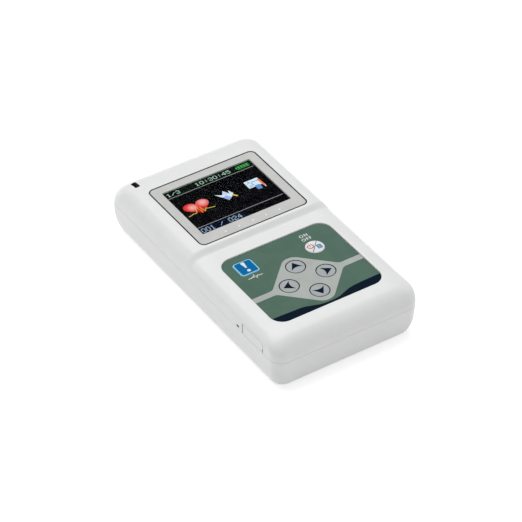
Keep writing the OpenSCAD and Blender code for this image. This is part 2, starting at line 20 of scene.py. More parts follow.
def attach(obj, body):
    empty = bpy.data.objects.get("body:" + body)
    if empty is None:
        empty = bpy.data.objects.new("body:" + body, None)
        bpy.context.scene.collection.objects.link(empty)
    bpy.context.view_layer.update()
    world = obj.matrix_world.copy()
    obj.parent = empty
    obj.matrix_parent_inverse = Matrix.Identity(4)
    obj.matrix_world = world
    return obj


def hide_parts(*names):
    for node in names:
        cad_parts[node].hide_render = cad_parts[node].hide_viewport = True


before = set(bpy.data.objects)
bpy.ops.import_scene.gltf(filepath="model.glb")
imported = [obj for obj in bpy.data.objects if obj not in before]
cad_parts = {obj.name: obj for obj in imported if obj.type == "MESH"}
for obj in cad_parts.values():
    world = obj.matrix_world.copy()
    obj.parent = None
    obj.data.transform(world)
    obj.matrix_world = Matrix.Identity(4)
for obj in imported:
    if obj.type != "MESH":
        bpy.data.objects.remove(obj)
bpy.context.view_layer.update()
MM = 0.001

# %% [markdown]
# ## The camera
# The photograph was taken with a long lens, from the front left and well above. The lens, place and
# turn below come from fitting the screen, keypad and body outline to the picture. A camera looks
# along its own -Z, so its matrix holds the right, up and backward directions as columns.

# %% Camera
EYE = Vector((-0.47646, -0.75602, 0.73579))
LOOK = Vector((0.41350, 0.65595, -0.63146)).normalized()
RIGHT = Vector((0.84052, -0.54165, -0.01226)).normalized()
LENS_MM, SENSOR_MM = 200.23, 36


def placed(name, data):
    """A new object in the scene."""
    made = bpy.data.objects.new(name, data)
    bpy.context.scene.collection.objects.link(made)
    return made


lens = bpy.data.cameras.new("photo_camera")
lens.lens, lens.sensor_width = LENS_MM, SENSOR_MM
lens.clip_start, lens.clip_end = 0.05, 20
camera = placed("photo_camera", lens)
up = RIGHT.cross(LOOK).normalized()
turn = Matrix((RIGHT, up, -LOOK)).transposed().to_4x4()
camera.matrix_world = Matrix.Translation(EYE) @ turn
bpy.context.scene.camera = camera
print("camera stands", round(EYE.length, 2), "m from the recorder")

# %% [markdown]
# ## Arithmetic with nodes
# Moulded plastic, printed film and metal all need numbers that change over the surface. Wiring Math
# nodes by hand hides the formula, so this small class wraps a socket: adding or multiplying two of
# them adds the Math node and returns its output. The Geometry Nodes trees further on use it too.


# %% Values that build their own Math nodes
class Value:
    def __init__(self, graph, socket):
        self.graph, self.socket = graph, socket

    def math(self, operation, *others):
        return self.graph.node("ShaderNodeMath", {"operation": operation}, self, *others)

    def __rsub__(self, other):
        return self.graph.node("ShaderNodeMath", {"operation": "SUBTRACT"}, other, self)

    def ramp(self, low, high):
        """0 at low, 1 at high, and eased between them."""
        settings = {"interpolation_type": "SMOOTHSTEP", "clamp": True}
        return self.graph.node("ShaderNodeMapRange", settings, self, low, high)


MATH = {"__add__": "ADD", "__radd__": "ADD", "__sub__": "SUBTRACT", "__mul__": "MULTIPLY",
        "__rmul__": "MULTIPLY", "__truediv__": "DIVIDE", "__mod__": "MODULO", "__pow__": "POWER",
        "__gt__": "GREATER_THAN", "__lt__": "LESS_THAN", "fract": "FRACT", "floor": "FLOOR",
        "abs": "ABSOLUTE", "root": "SQRT"}
for method, operation in MATH.items():
    setattr(Value, method, partialmethod(Value.math, operation))
print("values know", len(MATH), "kinds of sum")

# %% [markdown]
# ## Graphs
# Shaders and Geometry Nodes are both trees of nodes. One `node` method serves both: it adds a node
# from its type, its settings and its socket values, so a recipe reads as one line a layer.


# %% A graph and its nodes
class Graph:
    def __init__(self, tree):
        self.tree = tree

    def plug(self, socket, value):
        """Links a Value to an input, or sets the input to a plain value."""
        if isinstance(value, Value):
            self.tree.links.new(value.socket, socket)
        elif isinstance(value, tuple) and socket.type == "RGBA":
            socket.default_value = (*value, 1)[:4]
        else:
            socket.default_value = value

    def node(self, kind, settings=None, *values, out=0, **named):
        """Adds a node, fills its inputs in order and by name, and returns one output."""
        made = self.tree.nodes.new(kind)
        for key, value in (settings or {}).items():
            setattr(made, key, value)
        for socket, value in zip(made.inputs, values):
            self.plug(socket, value)
        for key, value in named.items():
            self.plug(made.inputs[key.replace("_", " ")], value)
        return Value(self, made.outputs[out])


print("graphs are ready")

# %% [markdown]
# ## Finishes
# A finish is a material with one Principled shader. All patterns read Object coordinates. Every
# piece keeps its object at the origin, so those are the recorder's own coordinates in metres, and a
# grain of half a millimetre has a scale of about 2000.


# %% A finish
class Finish(Graph):
    def __init__(self, name, **plain):
        self.material = bpy.data.materials.new(name)
        self.material.use_nodes = True
        super().__init__(self.material.node_tree)
        self.shader = self.tree.nodes["Principled BSDF"]
        self.place = self.node("ShaderNodeTexCoord", out="Object")
        self.set(**plain)

    def set(self, **sockets):
        for key, value in sockets.items():
            self.plug(self.shader.inputs[key.replace("_", " ")], value)
        return self

    def noise(self, scale, detail=2.0, rough=0.5, place=None):
        return self.node("ShaderNodeTexNoise", Vector=place or self.place, Scale=scale,
                         Detail=detail, Roughness=rough)

    def axes(self):
        """X, Y and Z of the spot that is shaded."""
        parts = self.node("ShaderNodeSeparateXYZ", None, self.place).socket.node
        return [Value(self, socket) for socket in parts.outputs]

    def blend(self, share, first, second):
        """first where share is 0, second where it is 1."""
        made = self.tree.nodes.new("ShaderNodeMix")
        made.data_type = "RGBA"
        sockets = {s.identifier: s for s in made.inputs}
        for key, value in (("Factor_Float", share), ("A_Color", first), ("B_Color", second)):
            self.plug(sockets[key], value)
        return Value(self, next(s for s in made.outputs if s.identifier == "Result_Color"))

    def bump(self, height, strength, depth):
        """depth is how many metres a height of 1 stands up."""
        return self.set(Normal=self.node("ShaderNodeBump", Strength=strength, Distance=depth,
                                         Height=height))


def grained(name, colour, rough, shade=0.03, grain=2200, depth=4e-6, strength=0.5, **plain):
    """A smooth moulding: faint cloudy colour, uneven gloss and a fine grain."""
    finish = Finish(name, **plain)
    cloud = finish.noise(160, 3)
    speck = finish.noise(grain, 2, 0.6)
    dark = tuple(c * (1 - shade) for c in colour)
    finish.set(Base_Color=finish.blend(cloud.ramp(0.35, 0.65), dark, colour))
    finish.set(Roughness=rough - 0.04 + cloud * 0.05 + speck * 0.04)
    return finish.bump(speck, strength, depth)


print("finishes are ready to be mixed")

# %% [markdown]
# ## White shell plastic
# The shells are moulded in a white ABS with a satin polish. Up close it has a fine orange peel, and
# the gloss is never quite even. A light clear coat gives the soft highlight along the shoulders. The
# narrow lanyard slot and the pinhole are lined with a dark grey painted shade, for the shadow deep in
# them.

# %% Shell and frame finishes
white_case = grained("white_case_plastic", (0.83, 0.835, 0.835), 0.34, 0.02, 1500, 5e-6,
                     Coat_Weight=0.15, Coat_Roughness=0.2)
grey_frame = grained("grey_frame_paint", (0.595, 0.595, 0.585), 0.42, 0.06, 3200, 5e-6, 0.7)
black_gasket = grained("black_gasket_rubber", (0.006, 0.006, 0.007), 0.6, 0.3, 3000, 8e-6,
                       Specular_IOR_Level=0.12)
lamp_diffuser = grained("lamp_diffuser", (0.86, 0.87, 0.87), 0.25, 0.02, 900, 3e-6)
label_film = grained("label_film", (0.66, 0.67, 0.68), 0.42, 0.04, 3600, 3e-6)
# Painted shade: a dark grey for the insides of the lanyard slot and the pinhole.
hole_lining = grained("hole_lining", (0.09, 0.09, 0.09), 0.6, 0.1, 1500, 6e-6,
                      Specular_IOR_Level=0.2)
holder_plastic = grained("holder_plastic", (0.7, 0.7, 0.68), 0.5, 0.05, 1400, 6e-6)
print("case finishes:", white_case.material.name, grey_frame.material.name)

# %% [markdown]
# ## Printed keypad film
# The keypad is a sheet of polyester, printed on the back in flat inks and embossed with a fine
# texture on the front. Each ink is its own finish over the same grain, so the film keeps one sheen
# from colour to colour.


# %% Film inks
def ink(name, colour, rough=0.5):
    return grained(name, colour, rough, 0.07, 4200, 5e-6, 0.6, Specular_IOR_Level=0.03)


green_ink = ink("film_green", (0.096, 0.170, 0.132))
grey_ink = ink("film_grey", (0.455, 0.485, 0.465))
navy_ink = ink("film_navy", (0.001, 0.009, 0.021))
pale_ink = ink("key_pale_ink", (0.43, 0.46, 0.47))
ring_ink = ink("key_ring_ink", (0.002, 0.006, 0.010))
arrow_ink = ink("key_arrow_ink", (0.003, 0.010, 0.024))
blue_ink = ink("mark_blue_ink", (0.001, 0.150, 0.40))
cyan_ink = ink("mark_edge_ink", (0.34, 0.70, 0.88))
white_ink = ink("white_ink", (0.80, 0.84, 0.84))
red_ink = ink("power_red_ink", (0.62, 0.05, 0.05))
print("film inks ready")

# %% [markdown]
# ## Metals and board parts
# Springs, plugs and screws are nickel-plated steel: metallic, with fine scratches that show as
# stretched noise in the gloss. The boards are green solder mask over a pattern of copper tracks.


# %% Metal and board finishes
def plated(name, colour, rough, along=(1, 1, 1)):
    finish = Finish(name, Metallic=1.0)
    stretched = finish.node("ShaderNodeMapping", None, finish.place, Scale=along)
    scratch = finish.noise(900, 4, place=stretched)
    dull = tuple(c * 0.82 for c in colour)
    finish.set(Base_Color=finish.blend(scratch.ramp(0.3, 0.7), dull, colour))
    finish.set(Roughness=rough + scratch * 0.16)
    return finish.bump(scratch, 0.4, 3e-6)


nickel = plated("nickel_plate", (0.72, 0.70, 0.66), 0.2, (1, 0.12, 1))
bright_steel = plated("bright_steel", (0.66, 0.67, 0.68), 0.24, (1, 1, 0.1))
gold_plate = plated("gold_contact", (0.85, 0.60, 0.24), 0.2)
chip_epoxy = grained("chip_epoxy", (0.018, 0.018, 0.02), 0.55, 0.4, 2600, 6e-6)
socket_plastic = grained("socket_plastic", (0.012, 0.016, 0.03), 0.45, 0.3, 1800, 5e-6)

solder_mask = Finish("solder_mask", Coat_Weight=0.3, Coat_Roughness=0.15)
x, y, z = solder_mask.axes()
track_x = ((x * 620).fract() - 0.5).abs() < 0.16
track_y = ((y * 540).fract() - 0.5).abs() < 0.14
field = solder_mask.noise(75, 1) > 0.52
tracks = field * track_x + (1 - field) * track_y
solder_mask.set(Base_Color=solder_mask.blend(tracks, (0.01, 0.10, 0.04), (0.03, 0.20, 0.08)),
                Roughness=0.3 + solder_mask.noise(900) * 0.1)
solder_mask.bump(tracks, 0.4, 2e-5)

amber_film = grained("amber_ribbon_film", (0.55, 0.22, 0.03), 0.3, 0.15, 1200, 4e-6)
print("metal and board finishes ready")

# %% [markdown]
# ## Battery sleeves
# Each cell wears a shrink sleeve in two plain bands, with a bare steel rim at its ends. The bands
# depend only on how far along the cell a point lies, so a comparison on Y draws them. The cells lie
# head to tail, so each has its own sleeve, with the copper band at the end that carries the nub.


# %% Battery sleeves
def sleeve(name, middle, heading):
    """A sleeve round a cell whose middle is at middle millimetres and whose nub points heading."""
    wrap = Finish(name, Coat_Weight=0.5, Coat_Roughness=0.1)
    x, y, z = wrap.axes()
    along = (y - middle * MM) * heading
    band = along.ramp(0.0087, 0.0089)
    rim = along.abs().ramp(0.0238, 0.0239)
    wrap.set(Base_Color=wrap.blend(rim, wrap.blend(band, (0.02, 0.02, 0.022), (0.62, 0.36, 0.10)),
                                   (0.6, 0.6, 0.6)),
             Metallic=rim, Roughness=0.24 + wrap.noise(700) * 0.12)
    wrap.bump(wrap.noise(300), 0.3, 1e-5)
    return wrap


CELLS = {"battery_cell_1": (-7.45, -28.75, 1), "battery_cell_2": (7.45, -31.45, -1)}
sleeves = {name: sleeve(name + "_sleeve", middle, way) for name, (x, middle, way) in CELLS.items()}
print(len(sleeves), "battery sleeves ready")

# %% [markdown]
# ## The lit screen
# A screen gives out its own light, so its colours go into Emission as well as a little into Base
# Color. Real panels are made of cells with dark gaps: a grid of 0.13 mm is cut into the light, too
# fine to see in the photograph but there when the camera comes near.

# %% Screen lights
DOT = 0.000128


def lit(name, colour, level=1.0, extra=None):
    finish = Finish(name, Roughness=0.5, Specular_IOR_Level=0.03, Emission_Strength=1.0)
    x, y, z = finish.axes()
    gap = ((x / DOT).fract() > 0.12) * ((y / DOT).fract() > 0.1) * 0.35 + 0.65
    hue = extra(finish) if extra else tuple(c * level for c in colour)
    finish.set(Base_Color=tuple(c * 0.05 for c in colour),
               Emission_Color=finish.blend(gap, (0, 0, 0), hue))
    return finish


screen_black = lit("screen_black", (0.0008, 0.0008, 0.0018))
screen_bar = lit("screen_status_bar", (0.0015, 0.006, 0.004))
screen_foot = lit("screen_foot_bar", (0.001, 0.003, 0.015))
screen_line = lit("screen_line", (0.42, 0.44, 0.43))
screen_text = lit("screen_text", (0.40, 0.62, 0.46))
screen_foot_text = lit("screen_foot_text", (0.30, 0.43, 0.56))
screen_green = lit("screen_green", (0.06, 0.44, 0.09))
screen_trace = lit("screen_trace", (0.80, 0.58, 0.10))
screen_card = lit("screen_card", (0.72, 0.86, 0.95))
screen_shade = lit("screen_shade", (0.14, 0.30, 0.60))
screen_pale = lit("screen_pale", (0.62, 0.72, 0.92))
screen_mid = lit("screen_mid", (0.36, 0.46, 0.78))
screen_orange = lit("screen_orange", (0.85, 0.22, 0.08))


def heart_light(finish):
    """Red, with a soft pink light on each lobe."""
    x, y, z = finish.axes()
    glow = 0
    for lobe_x, lobe_y, reach in ((-0.0148, 0.0268, 0.0030), (-0.0096, 0.0277, 0.0034)):
        far = ((x - lobe_x) ** 2 + (y - lobe_y) ** 2).root()
        glow = glow + far.ramp(reach, 0.0)
    warm = y.ramp(0.0215, 0.029)
    deep = finish.blend(warm, (0.50, 0.010, 0.004), (0.85, 0.035, 0.030))
    return finish.blend(glow * 0.62, deep, (1.0, 0.72, 0.68))


screen_heart = lit("screen_heart", (0.8, 0.04, 0.03), extra=heart_light)
clear_window = Finish("clear_window", Base_Color=(0.96, 0.98, 1.0), Transmission_Weight=1.0,
                      IOR=1.04, Specular_IOR_Level=0.4)
clear_window.set(Roughness=0.02 + clear_window.noise(500) * 0.02)
print("screen finishes ready")

# %% [markdown]
# ## Flat outlines
# Nearly everything on this product is a flat outline given a thickness: rounded rectangles, discs,
# arrows. An outline here is a list of points, anticlockwise, in millimetres. Areas with holes are
# filled by a constrained Delaunay triangulation, which keeps every outline point where it is, so
# walls built on the same outline meet the filled face exactly.


# %% Outlines
def mix(a, b, t):
    return a + (b - a) * t


def ease(t):
    t = min(max(t, 0), 1)
    return t * t * (3 - 2 * t)


def rounded(w, l, r, cx=0, cy=0, n=10):
    """A rounded rectangle of width w and length l."""
    corners = ((1, -1, -90), (1, 1, 0), (-1, 1, 90), (-1, -1, 180))
    return [(cx + sx * (w / 2 - r) + r * cos(radians(a + 90 * i / n)),
             cy + sy * (l / 2 - r) + r * sin(radians(a + 90 * i / n)))
            for sx, sy, a in corners for i in range(n + 1)]


def disc(r, cx=0, cy=0, n=48):
    return [(cx + r * cos(2 * pi * i / n), cy + r * sin(2 * pi * i / n)) for i in range(n)]


def moved(loop, dx, dy, angle=0):
    c, s = cos(radians(angle)), sin(radians(angle))
    return [(dx + x * c - y * s, dy + x * s + y * c) for x, y in loop]


def within(loop, spots):
    """Which of the spots lie inside a loop."""
    x, y = spots[:, 0], spots[:, 1]
    hit = np.zeros(len(spots), bool)
    for (x0, y0), (x1, y1) in zip(loop, loop[1:] + loop[:1]):
        if y0 != y1:
            hit ^= ((y0 > y) != (y1 > y)) & (x < (x1 - x0) * (y - y0) / (y1 - y0) + x0)
    return hit


def filled(outline, holes=(), lines=(), extra=()):
    """Triangles over an outline with holes. lines are further loops that the triangles respect."""
    corners, edges = [], []
    for loop in (outline, *holes, *lines):
        first, n = len(corners), len(loop)
        corners += [Vector(p) for p in loop]
        edges += [(first + i, first + (i + 1) % n) for i in range(n)]
    exact = [tuple(p) for loop in (outline, *holes, *lines) for p in loop]
    corners += [Vector(p) for p in extra]
    exact += list(extra)
    spots, _, faces, origins, _, _ = delaunay_2d_cdt(corners, edges, [], 0, 1e-5)
    spots = [exact[o[0]] if o else (p.x, p.y) for p, o in zip(spots, origins)]
    middles = np.array([np.mean([spots[i] for i in f], axis=0) for f in faces])
    keep = within(outline, middles)
    for hole in holes:
        keep &= ~within(hole, middles)
    return spots, [f for f, k in zip(faces, keep) if k], middles[keep]


print("a filled disc takes", len(filled(disc(1))[1]), "triangles")

# %% [markdown]
# ## Building skins
# A `Skin` gathers walls and flat layers into one closed surface. A wall joins two loops of the same
# number of points, and a layer fills a loop at some height. Points that coincide become one, so the
# finished skin is watertight, like the real moulding.


# %% Skins
class Skin:
    def __init__(self):
        self.mesh = bmesh.new()
        self.seen = {}

    def point(self, p):
        key = tuple(round(c, 3) for c in p)
        if key not in self.seen:
            self.seen[key] = self.mesh.verts.new(p)
        return self.seen[key]

    def face(self, points):
        verts = list(dict.fromkeys(self.point(p) for p in points))
        if len(verts) > 2 and not self.mesh.faces.get(verts):
            self.mesh.faces.new(verts)

    def wall(self, low, high):
        n = len(low)
        for i in range(n):
            j = (i + 1) % n
            self.face((low[i], low[j], high[j], high[i]))

    def walls(self, loops):
        for low, high in zip(loops, loops[1:]):
            self.wall(low, high)

    def layer(self, height, outline, holes=(), extra=()):
        """height is a number, or a function of x and y."""
        rise = height if callable(height) else lambda x, y: height
        spots, faces, _ = filled(outline, holes, extra=extra)
        for f in faces:
            self.face([(*spots[i], rise(*spots[i])) for i in f])


def at(loop, z):
    return [(x, y, z) for x, y in loop]


def flat(loop):
    return [(p[0], p[1]) for p in loop]


def prism(loop, axis, low, high):
    """A block with the given outline, pushed along one axis."""
    place = {"x": lambda u, v, h: (h, u, v), "y": lambda u, v, h: (u, h, v),
             "z": lambda u, v, h: (u, v, h)}[axis]
    skin = Skin()
    spots, faces, _ = filled(loop)
    for f in faces:
        skin.face([place(*spots[i], low) for i in f])
        skin.face([place(*spots[i], high) for i in f])
    skin.wall([place(*p, low) for p in loop], [place(*p, high) for p in loop])
    return skin


def block(x0, x1, y0, y1, z0, z1):
    return prism([(x0, y0), (x1, y0), (x1, y1), (x0, y1)], "z", z0, z1)


print("skins are built of walls, layers, prisms and blocks")

# %% [markdown]
# ## From mesh to piece
# A finished piece is scaled to metres, shaded smooth except at real edges, and given weighted
# normals, which keep flat faces flat beside small fillets. Then it is told which CAD body it rides
# on, and the CAD node it stands for is hidden.


# %% Pieces
SHARP_ANGLE, FLAT_WEIGHT = 32, 60


def as_object(mesh, name="tool"):
    """A bmesh or Skin as a plain object, still in millimetres."""
    mesh = getattr(mesh, "mesh", mesh)
    bmesh.ops.remove_doubles(mesh, verts=mesh.verts, dist=5e-4)
    bmesh.ops.recalc_face_normals(mesh, faces=mesh.faces)
    data = bpy.data.meshes.new(name)
    mesh.to_mesh(data)
    mesh.free()
    return placed(name, data)


def evaluated(thing):
    """The plain mesh that an object shows, with its modifiers worked in."""
    graph = bpy.context.evaluated_depsgraph_get()
    graph.update()
    return bpy.data.meshes.new_from_object(thing.evaluated_get(graph))


def applied(thing):
    """Replaces an object's mesh by its modified one."""
    result = evaluated(thing)
    thing.modifiers.clear()
    thing.data = result
    return thing


def cut(thing, *tools, how="DIFFERENCE"):
    """Cuts tools away from a piece, or joins them to it."""
    tools = [as_object(t) for t in tools]
    for tool in tools:
        step = thing.modifiers.new(how, "BOOLEAN")
        step.operation, step.object, step.solver = how, tool, "EXACT"
    applied(thing)
    for tool in tools:
        bpy.data.objects.remove(tool)
    return thing


def finished(thing, name, body, node, slot, *finishes):
    """Scales a piece to metres, finishes it and rides it on its body."""
    thing.name = thing.data.name = name
    data = thing.data
    data.transform(Matrix.Scale(MM, 4))
    inks = [face.material_index for face in data.polygons]
    data.materials.clear()
    for finish in finishes:
        data.materials.append(finish.material)
    data.polygons.foreach_set("material_index", inks if len(finishes) > 1 else [0] * len(inks))
    data.shade_smooth()
    data.set_sharp_from_angle(angle=radians(SHARP_ANGLE))
    step = thing.modifiers.new("normals", "WEIGHTED_NORMAL")
    step.keep_sharp, step.weight = True, FLAT_WEIGHT
    applied(thing).data.name = name
    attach(thing, body)
    if node:
        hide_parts(node)
    print(f"{name}: {len(thing.data.polygons)} faces on {body}")


print("edges sharper than", SHARP_ANGLE, "degrees stay sharp")

# %% [markdown]
# ## The body's curves
# The body is read off in level lines, like a map. At any height its outline is a rounded rectangle,
# and the shoulders draw that outline inwards along quarter ellipses. The display half is 1.9 mm
# higher than the keypad half, and everything that differs between them, height, run and rise, is
# eased over the same 4 mm, which gives the soft step that the photograph shows. There the points
# along a side lie closer together.

# %% Body sizes in millimetres
W, L = 66.6, 125.6
RIM, PAD, PART = 22.9, 24.8, 13.8
CORNER, FAR_CORNER, WALL = 5.3, 5.8, 1.8
SIDE, PAD_SIDE = (6.5, 4.8), (6.5, 7.7)
FRONT, FAR = (9.8, 8.0), (13.3, 16.5)
FOOT, DRAFT = (2.9, 8.3), 0.95
STEP_LOW, STEP_HIGH = -1.5, 2.2
SOFT_LOW, SOFT_HIGH = -2.2, 3
KEYPAD_Y, FRAME_Y, SCREEN_Y = -29.3, 23.9, 24.9


def edge(depth, run, rise):
    """How far a shoulder is drawn in, depth below its crown."""
    u = (rise - max(depth, 0)) / rise
    return 0 if u <= 0 else run * (1 - sqrt(1 - u * u))


def foot(z):
    return DRAFT * max(PART - z, 0) / PART + edge(z, *FOOT)


def crown(y):
    """Top height, shoulder run and shoulder rise at a distance along the body."""
    s = ease((y - STEP_LOW) / (STEP_HIGH - STEP_LOW))
    return [mix(a, b, s) for a, b in zip((RIM, *SIDE), (PAD, *PAD_SIDE))]


def corner(cx, cy, r, start, z, n=14):
    return [(cx + r * cos(radians(start + 90 * i / n)), cy + r * sin(radians(start + 90 * i / n)), z)
            for i in range(1, n)]


def level(near, far, r, r_far, side):
    """A closed level line. near and far are the corners of its box on the right, as x, y and z."""
    (x0, y0, z0), (x1, y1, z1) = near, far
    right = [(mix(0, x0 - r, i / 10), y0, z0) for i in range(11)]
    right += corner(x0 - r, y0 + r, r, -90, z0) + side
    right += corner(x1 - r_far, y1 - r_far, r_far, 0, z1)
    right += [(mix(x1 - r_far, 0, i / 10), y1, z1) for i in range(11)]
    return right + [(-x, y, z) for x, y, z in reversed(right[1:-1])]


def upper_level(q, t=0.0, shrink=0.0):
    """Level q of the top shell, 0 where the shells part and 1 at the flat top, t under its skin."""
    w, l, r = W / 2 - t - shrink, L / 2 - t - shrink, max(CORNER - t - shrink, 1)
    r_far = r + FAR_CORNER - CORNER
    near, far = mix(PART, RIM - t, q), mix(PART, PAD - t, q)

    def drawn(top, z, run, rise):
        return edge(top - t - z, max(run - t, 1), max(rise - t, 1))

    y0, y1 = -l + drawn(RIM, near, *FRONT), l - drawn(PAD, far, *FAR)
    stops = [mix(y0 + r, SOFT_LOW, i / 18) for i in range(18)]
    stops += [mix(SOFT_LOW, SOFT_HIGH, i / 18) for i in range(18)]
    stops += [mix(SOFT_HIGH, y1 - r_far, i / 18) for i in range(19)]
    side = []
    for y in stops:
        top, run, rise = crown(y)
        z = mix(PART, top - t, q)
        side.append((w - drawn(top, z, run, rise), y, z))
    return level((w - drawn(RIM, near, *SIDE), y0, near),
                 (w - drawn(PAD, far, *PAD_SIDE), y1, far), r, r_far, side)


def lower_level(z, t=0.0, shrink=0.0):
    """The bottom shell's outline at a height, t under its skin."""
    drawn = foot(z + t) + t + shrink
    r = max(CORNER - 0.3 * foot(z) - t - shrink, 1)
    r_far = r + FAR_CORNER - CORNER
    w, y0 = W / 2 - drawn, -L / 2 + drawn
    y1 = L / 2 - drawn - edge(PAD - z - t, *FAR)
    side = [(w, mix(y0 + r, y1 - r_far, i / 40), z) for i in range(41)]
    return level((w, y0, z), (w, y1, z), r, r_far, side)


print("outline at the parting line:", len(upper_level(0)), "points")

# %% [markdown]
# ## Top shell
# The outside is a stack of level lines, closer together where the shoulder curves. The flat top is
# one filled layer with two openings, and each opening has a small fillet, its wall and its floor.
# The inside is the same stack 1.8 mm further in. Where the shells meet, both edges are eased, which
# draws the fine parting line round the body.

# %% Top shell
KEYS = {"key_up": (0, -25.3), "key_down": (0, -42.3), "key_left": (-8.5, -33.8),
        "key_right": (8.5, -33.8), "key_power": (13.1, -19.1)}
MARK = (-16.3, -15.1)
LIP, GROOVE, FILLET = 0.18, 0.16, 0.3
FILM_BED, WELL_BED, KEYPAD_UNDER = 21.6, 21.2, 20
FRAME_BED, FRAME_UNDER = 23.9, 22.4


def fillet(make, top, n=4):
    """Loops of a rounded lip round an opening. make gives the outline, grown by an amount."""
    turns = [pi / 2 * i / n for i in range(n + 1)]
    return [at(make(FILLET * (1 - sin(a))), top - FILLET * (1 - cos(a))) for a in turns]


def keypad_edge(grow=0):
    return rounded(50.3 + 2 * grow, 44.2 + 2 * grow, 5.65 + grow, 0, KEYPAD_Y, 14)


def frame_edge(grow=0):
    return rounded(50.3 + 2 * grow, 42 + 2 * grow, 2.6 + grow, 0, FRAME_Y, 14)


well_loops = [disc(4.1, *spot) for spot in KEYS.values()] + [rounded(8.9, 8.9, 1.5, *MARK, 6)]
stem_loops = [disc(1.85, *spot, 32) for spot in (*KEYS.values(), MARK)]
window = rounded(47.4, 37, 0.8, 0, SCREEN_Y, 4)
keypad_plate = rounded(53, 46.9, 7, 0, KEYPAD_Y)
frame_ledge = rounded(51.5, 43.2, 3.2, 0, FRAME_Y)
step_rows = [(x, mix(STEP_LOW, STEP_HIGH, i / 12)) for i in range(12) for x in range(-25, 26, 2)]

shell = Skin()
rise = [1 - sin(pi / 2 * (1 - i / 30)) for i in range(31)]
levels = [upper_level(0, shrink=LIP), upper_level(GROOVE / 11)]
levels += [upper_level(q) for q in rise if q * 9 > GROOVE]
shell.walls(levels)
shell.layer(lambda x, y: crown(y)[0], flat(levels[-1]),
            (keypad_edge(FILLET), frame_edge(FILLET)), step_rows)
shell.walls(fillet(keypad_edge, RIM) + [at(keypad_edge(), FILM_BED)])
shell.layer(FILM_BED, keypad_edge(), well_loops)
for well, stem in zip(well_loops, stem_loops):
    shell.wall(at(well, FILM_BED), at(well, WELL_BED))
    shell.layer(WELL_BED, well, [stem])
    shell.wall(at(stem, WELL_BED), at(stem, KEYPAD_UNDER))
shell.layer(KEYPAD_UNDER, keypad_plate, stem_loops)
shell.walls(fillet(frame_edge, PAD) + [at(frame_edge(), FRAME_BED)])
shell.layer(FRAME_BED, frame_edge(), [window])
shell.wall(at(window, FRAME_BED), at(window, FRAME_UNDER))
shell.layer(FRAME_UNDER, frame_ledge, [window])


def under(x, y):
    return crown(y)[0] - WALL


inside = [upper_level(1 - sin(pi / 2 * (1 - i / 10)), WALL) for i in range(11)]
for loop, z in ((keypad_plate, KEYPAD_UNDER), (frame_ledge, FRAME_UNDER)):
    shell.wall(at(loop, z), [(x, y, under(x, y)) for x, y in loop])
shell.layer(under, flat(inside[-1]), (keypad_plate, frame_ledge), step_rows)
shell.walls(inside)
shell.wall(levels[0], inside[0])
top_shell = as_object(shell)
print("top shell skin:", len(top_shell.data.polygons), "faces")

# %% [markdown]
# ## Openings in the shells
# The port cover's pocket, the reset pinhole, the lanyard slot and the lead socket's pocket cut
# through the curved skin at odd places. Booleans do this best: the tool is a simple block, and the
# exact solver finds where it meets the curve. The faces inside the slot and the pinhole then get the
# dark grey painted shade: all their points lie within the tool that cut them.

# %% Cut the top shell
SOCKET_Z = 11.0
SLOT_X, SLOT_Y, SLOT_W, SLOT_L = -26.3, 51.8, 2.2, 4.4
HOLE_Y, HOLE_Z, HOLE_W, HOLE_H = -35.6, 15.2, 1.8, 0.9


PIN = (-32.35, -39.65)


def lead_opening(low, high):
    """The pocket round the lead socket, the slot for its flange and the gap behind it."""
    return (prism(rounded(32, 13, 1.5, 0, SOCKET_Z, 6), "y", 56.9, 70),
            block(-16.6, 16.6, 56, 56.9, SOCKET_Z - 7.1, SOCKET_Z + 7.1),
            block(-15, 15, 50, 56.1, low, high))


def collar(z0, z1, z2, z3):
    """The block that grips the lead socket: short over its whole height, long between z2 and z3."""
    return (block(-18.5, 18.5, 54.9, 58.6, z0, z1), block(-18.5, 18.5, 54.8, 61, z2, z3))


slot_walls = [block(SLOT_X - 2.1, SLOT_X + 2.1, 48.6, 55.5, 14.5, 22),
              block(SLOT_X - 2.1, SLOT_X + 2.1, 48.7, 59, 14.51, 18.5)]
port_wall = block(-32.3, -30.4, -54.5, -37.1, PART + 0.03, 19.3)
cut(top_shell, *collar(PART + 0.01, 19.5, PART + 0.02, 16), *slot_walls, port_wall, how="UNION")

slot = [prism(rounded(SLOT_W, SLOT_L, 0.5, SLOT_X, SLOT_Y, 5), "z", 15.5, 30),
        prism(rounded(SLOT_W, SLOT_W, 0.4, SLOT_X, 16.6, 5), "y", 53, 70)]
cover_bed = prism(rounded(14.9, 6, 0.5, -46.07, 15.67, 5), "x", -36, -31.65)
hinge_bed = [block(-36, PIN[0], -40, -38.55, 12, 18.67), prism(disc(1.05, *PIN, 32), "z", 12, 18.69)]
port_mouth = block(-33, -28, -50.05, -41.95, 12, 18.1)
pinhole = prism(rounded(HOLE_W, HOLE_H, 0.4, HOLE_Y, HOLE_Z, 6), "x", -36, -29)
cut(top_shell, *lead_opening(5, 16.6), *slot, cover_bed, *hinge_bed, port_mouth, pinhole)


def near(a, b, width):
    return abs(a - b) < width / 2 + 0.01


# Faces inside the slot or the pinhole get the second finish, the painted shade.
points = [vert.co for vert in top_shell.data.vertices]
for face in top_shell.data.polygons:
    ends = [points[i] for i in face.vertices]
    in_slot = all(near(x, SLOT_X, SLOT_W) and near(y, SLOT_Y, SLOT_L) for x, y, z in ends)
    in_hole = all(near(y, HOLE_Y, HOLE_W) and near(z, HOLE_Z, HOLE_H) for x, y, z in ends)
    face.material_index = int(in_slot or in_hole)
finished(top_shell, "top_shell_skin", "case", "top_shell", "shell_white", white_case, hole_lining)

# %% [markdown]
# ## Bottom shell
# The bottom shell is built the same way, upside down: a deep rounded foot, a flat underside with
# the battery bay, the label's shallow recess and four screw wells, and an inside face above them.

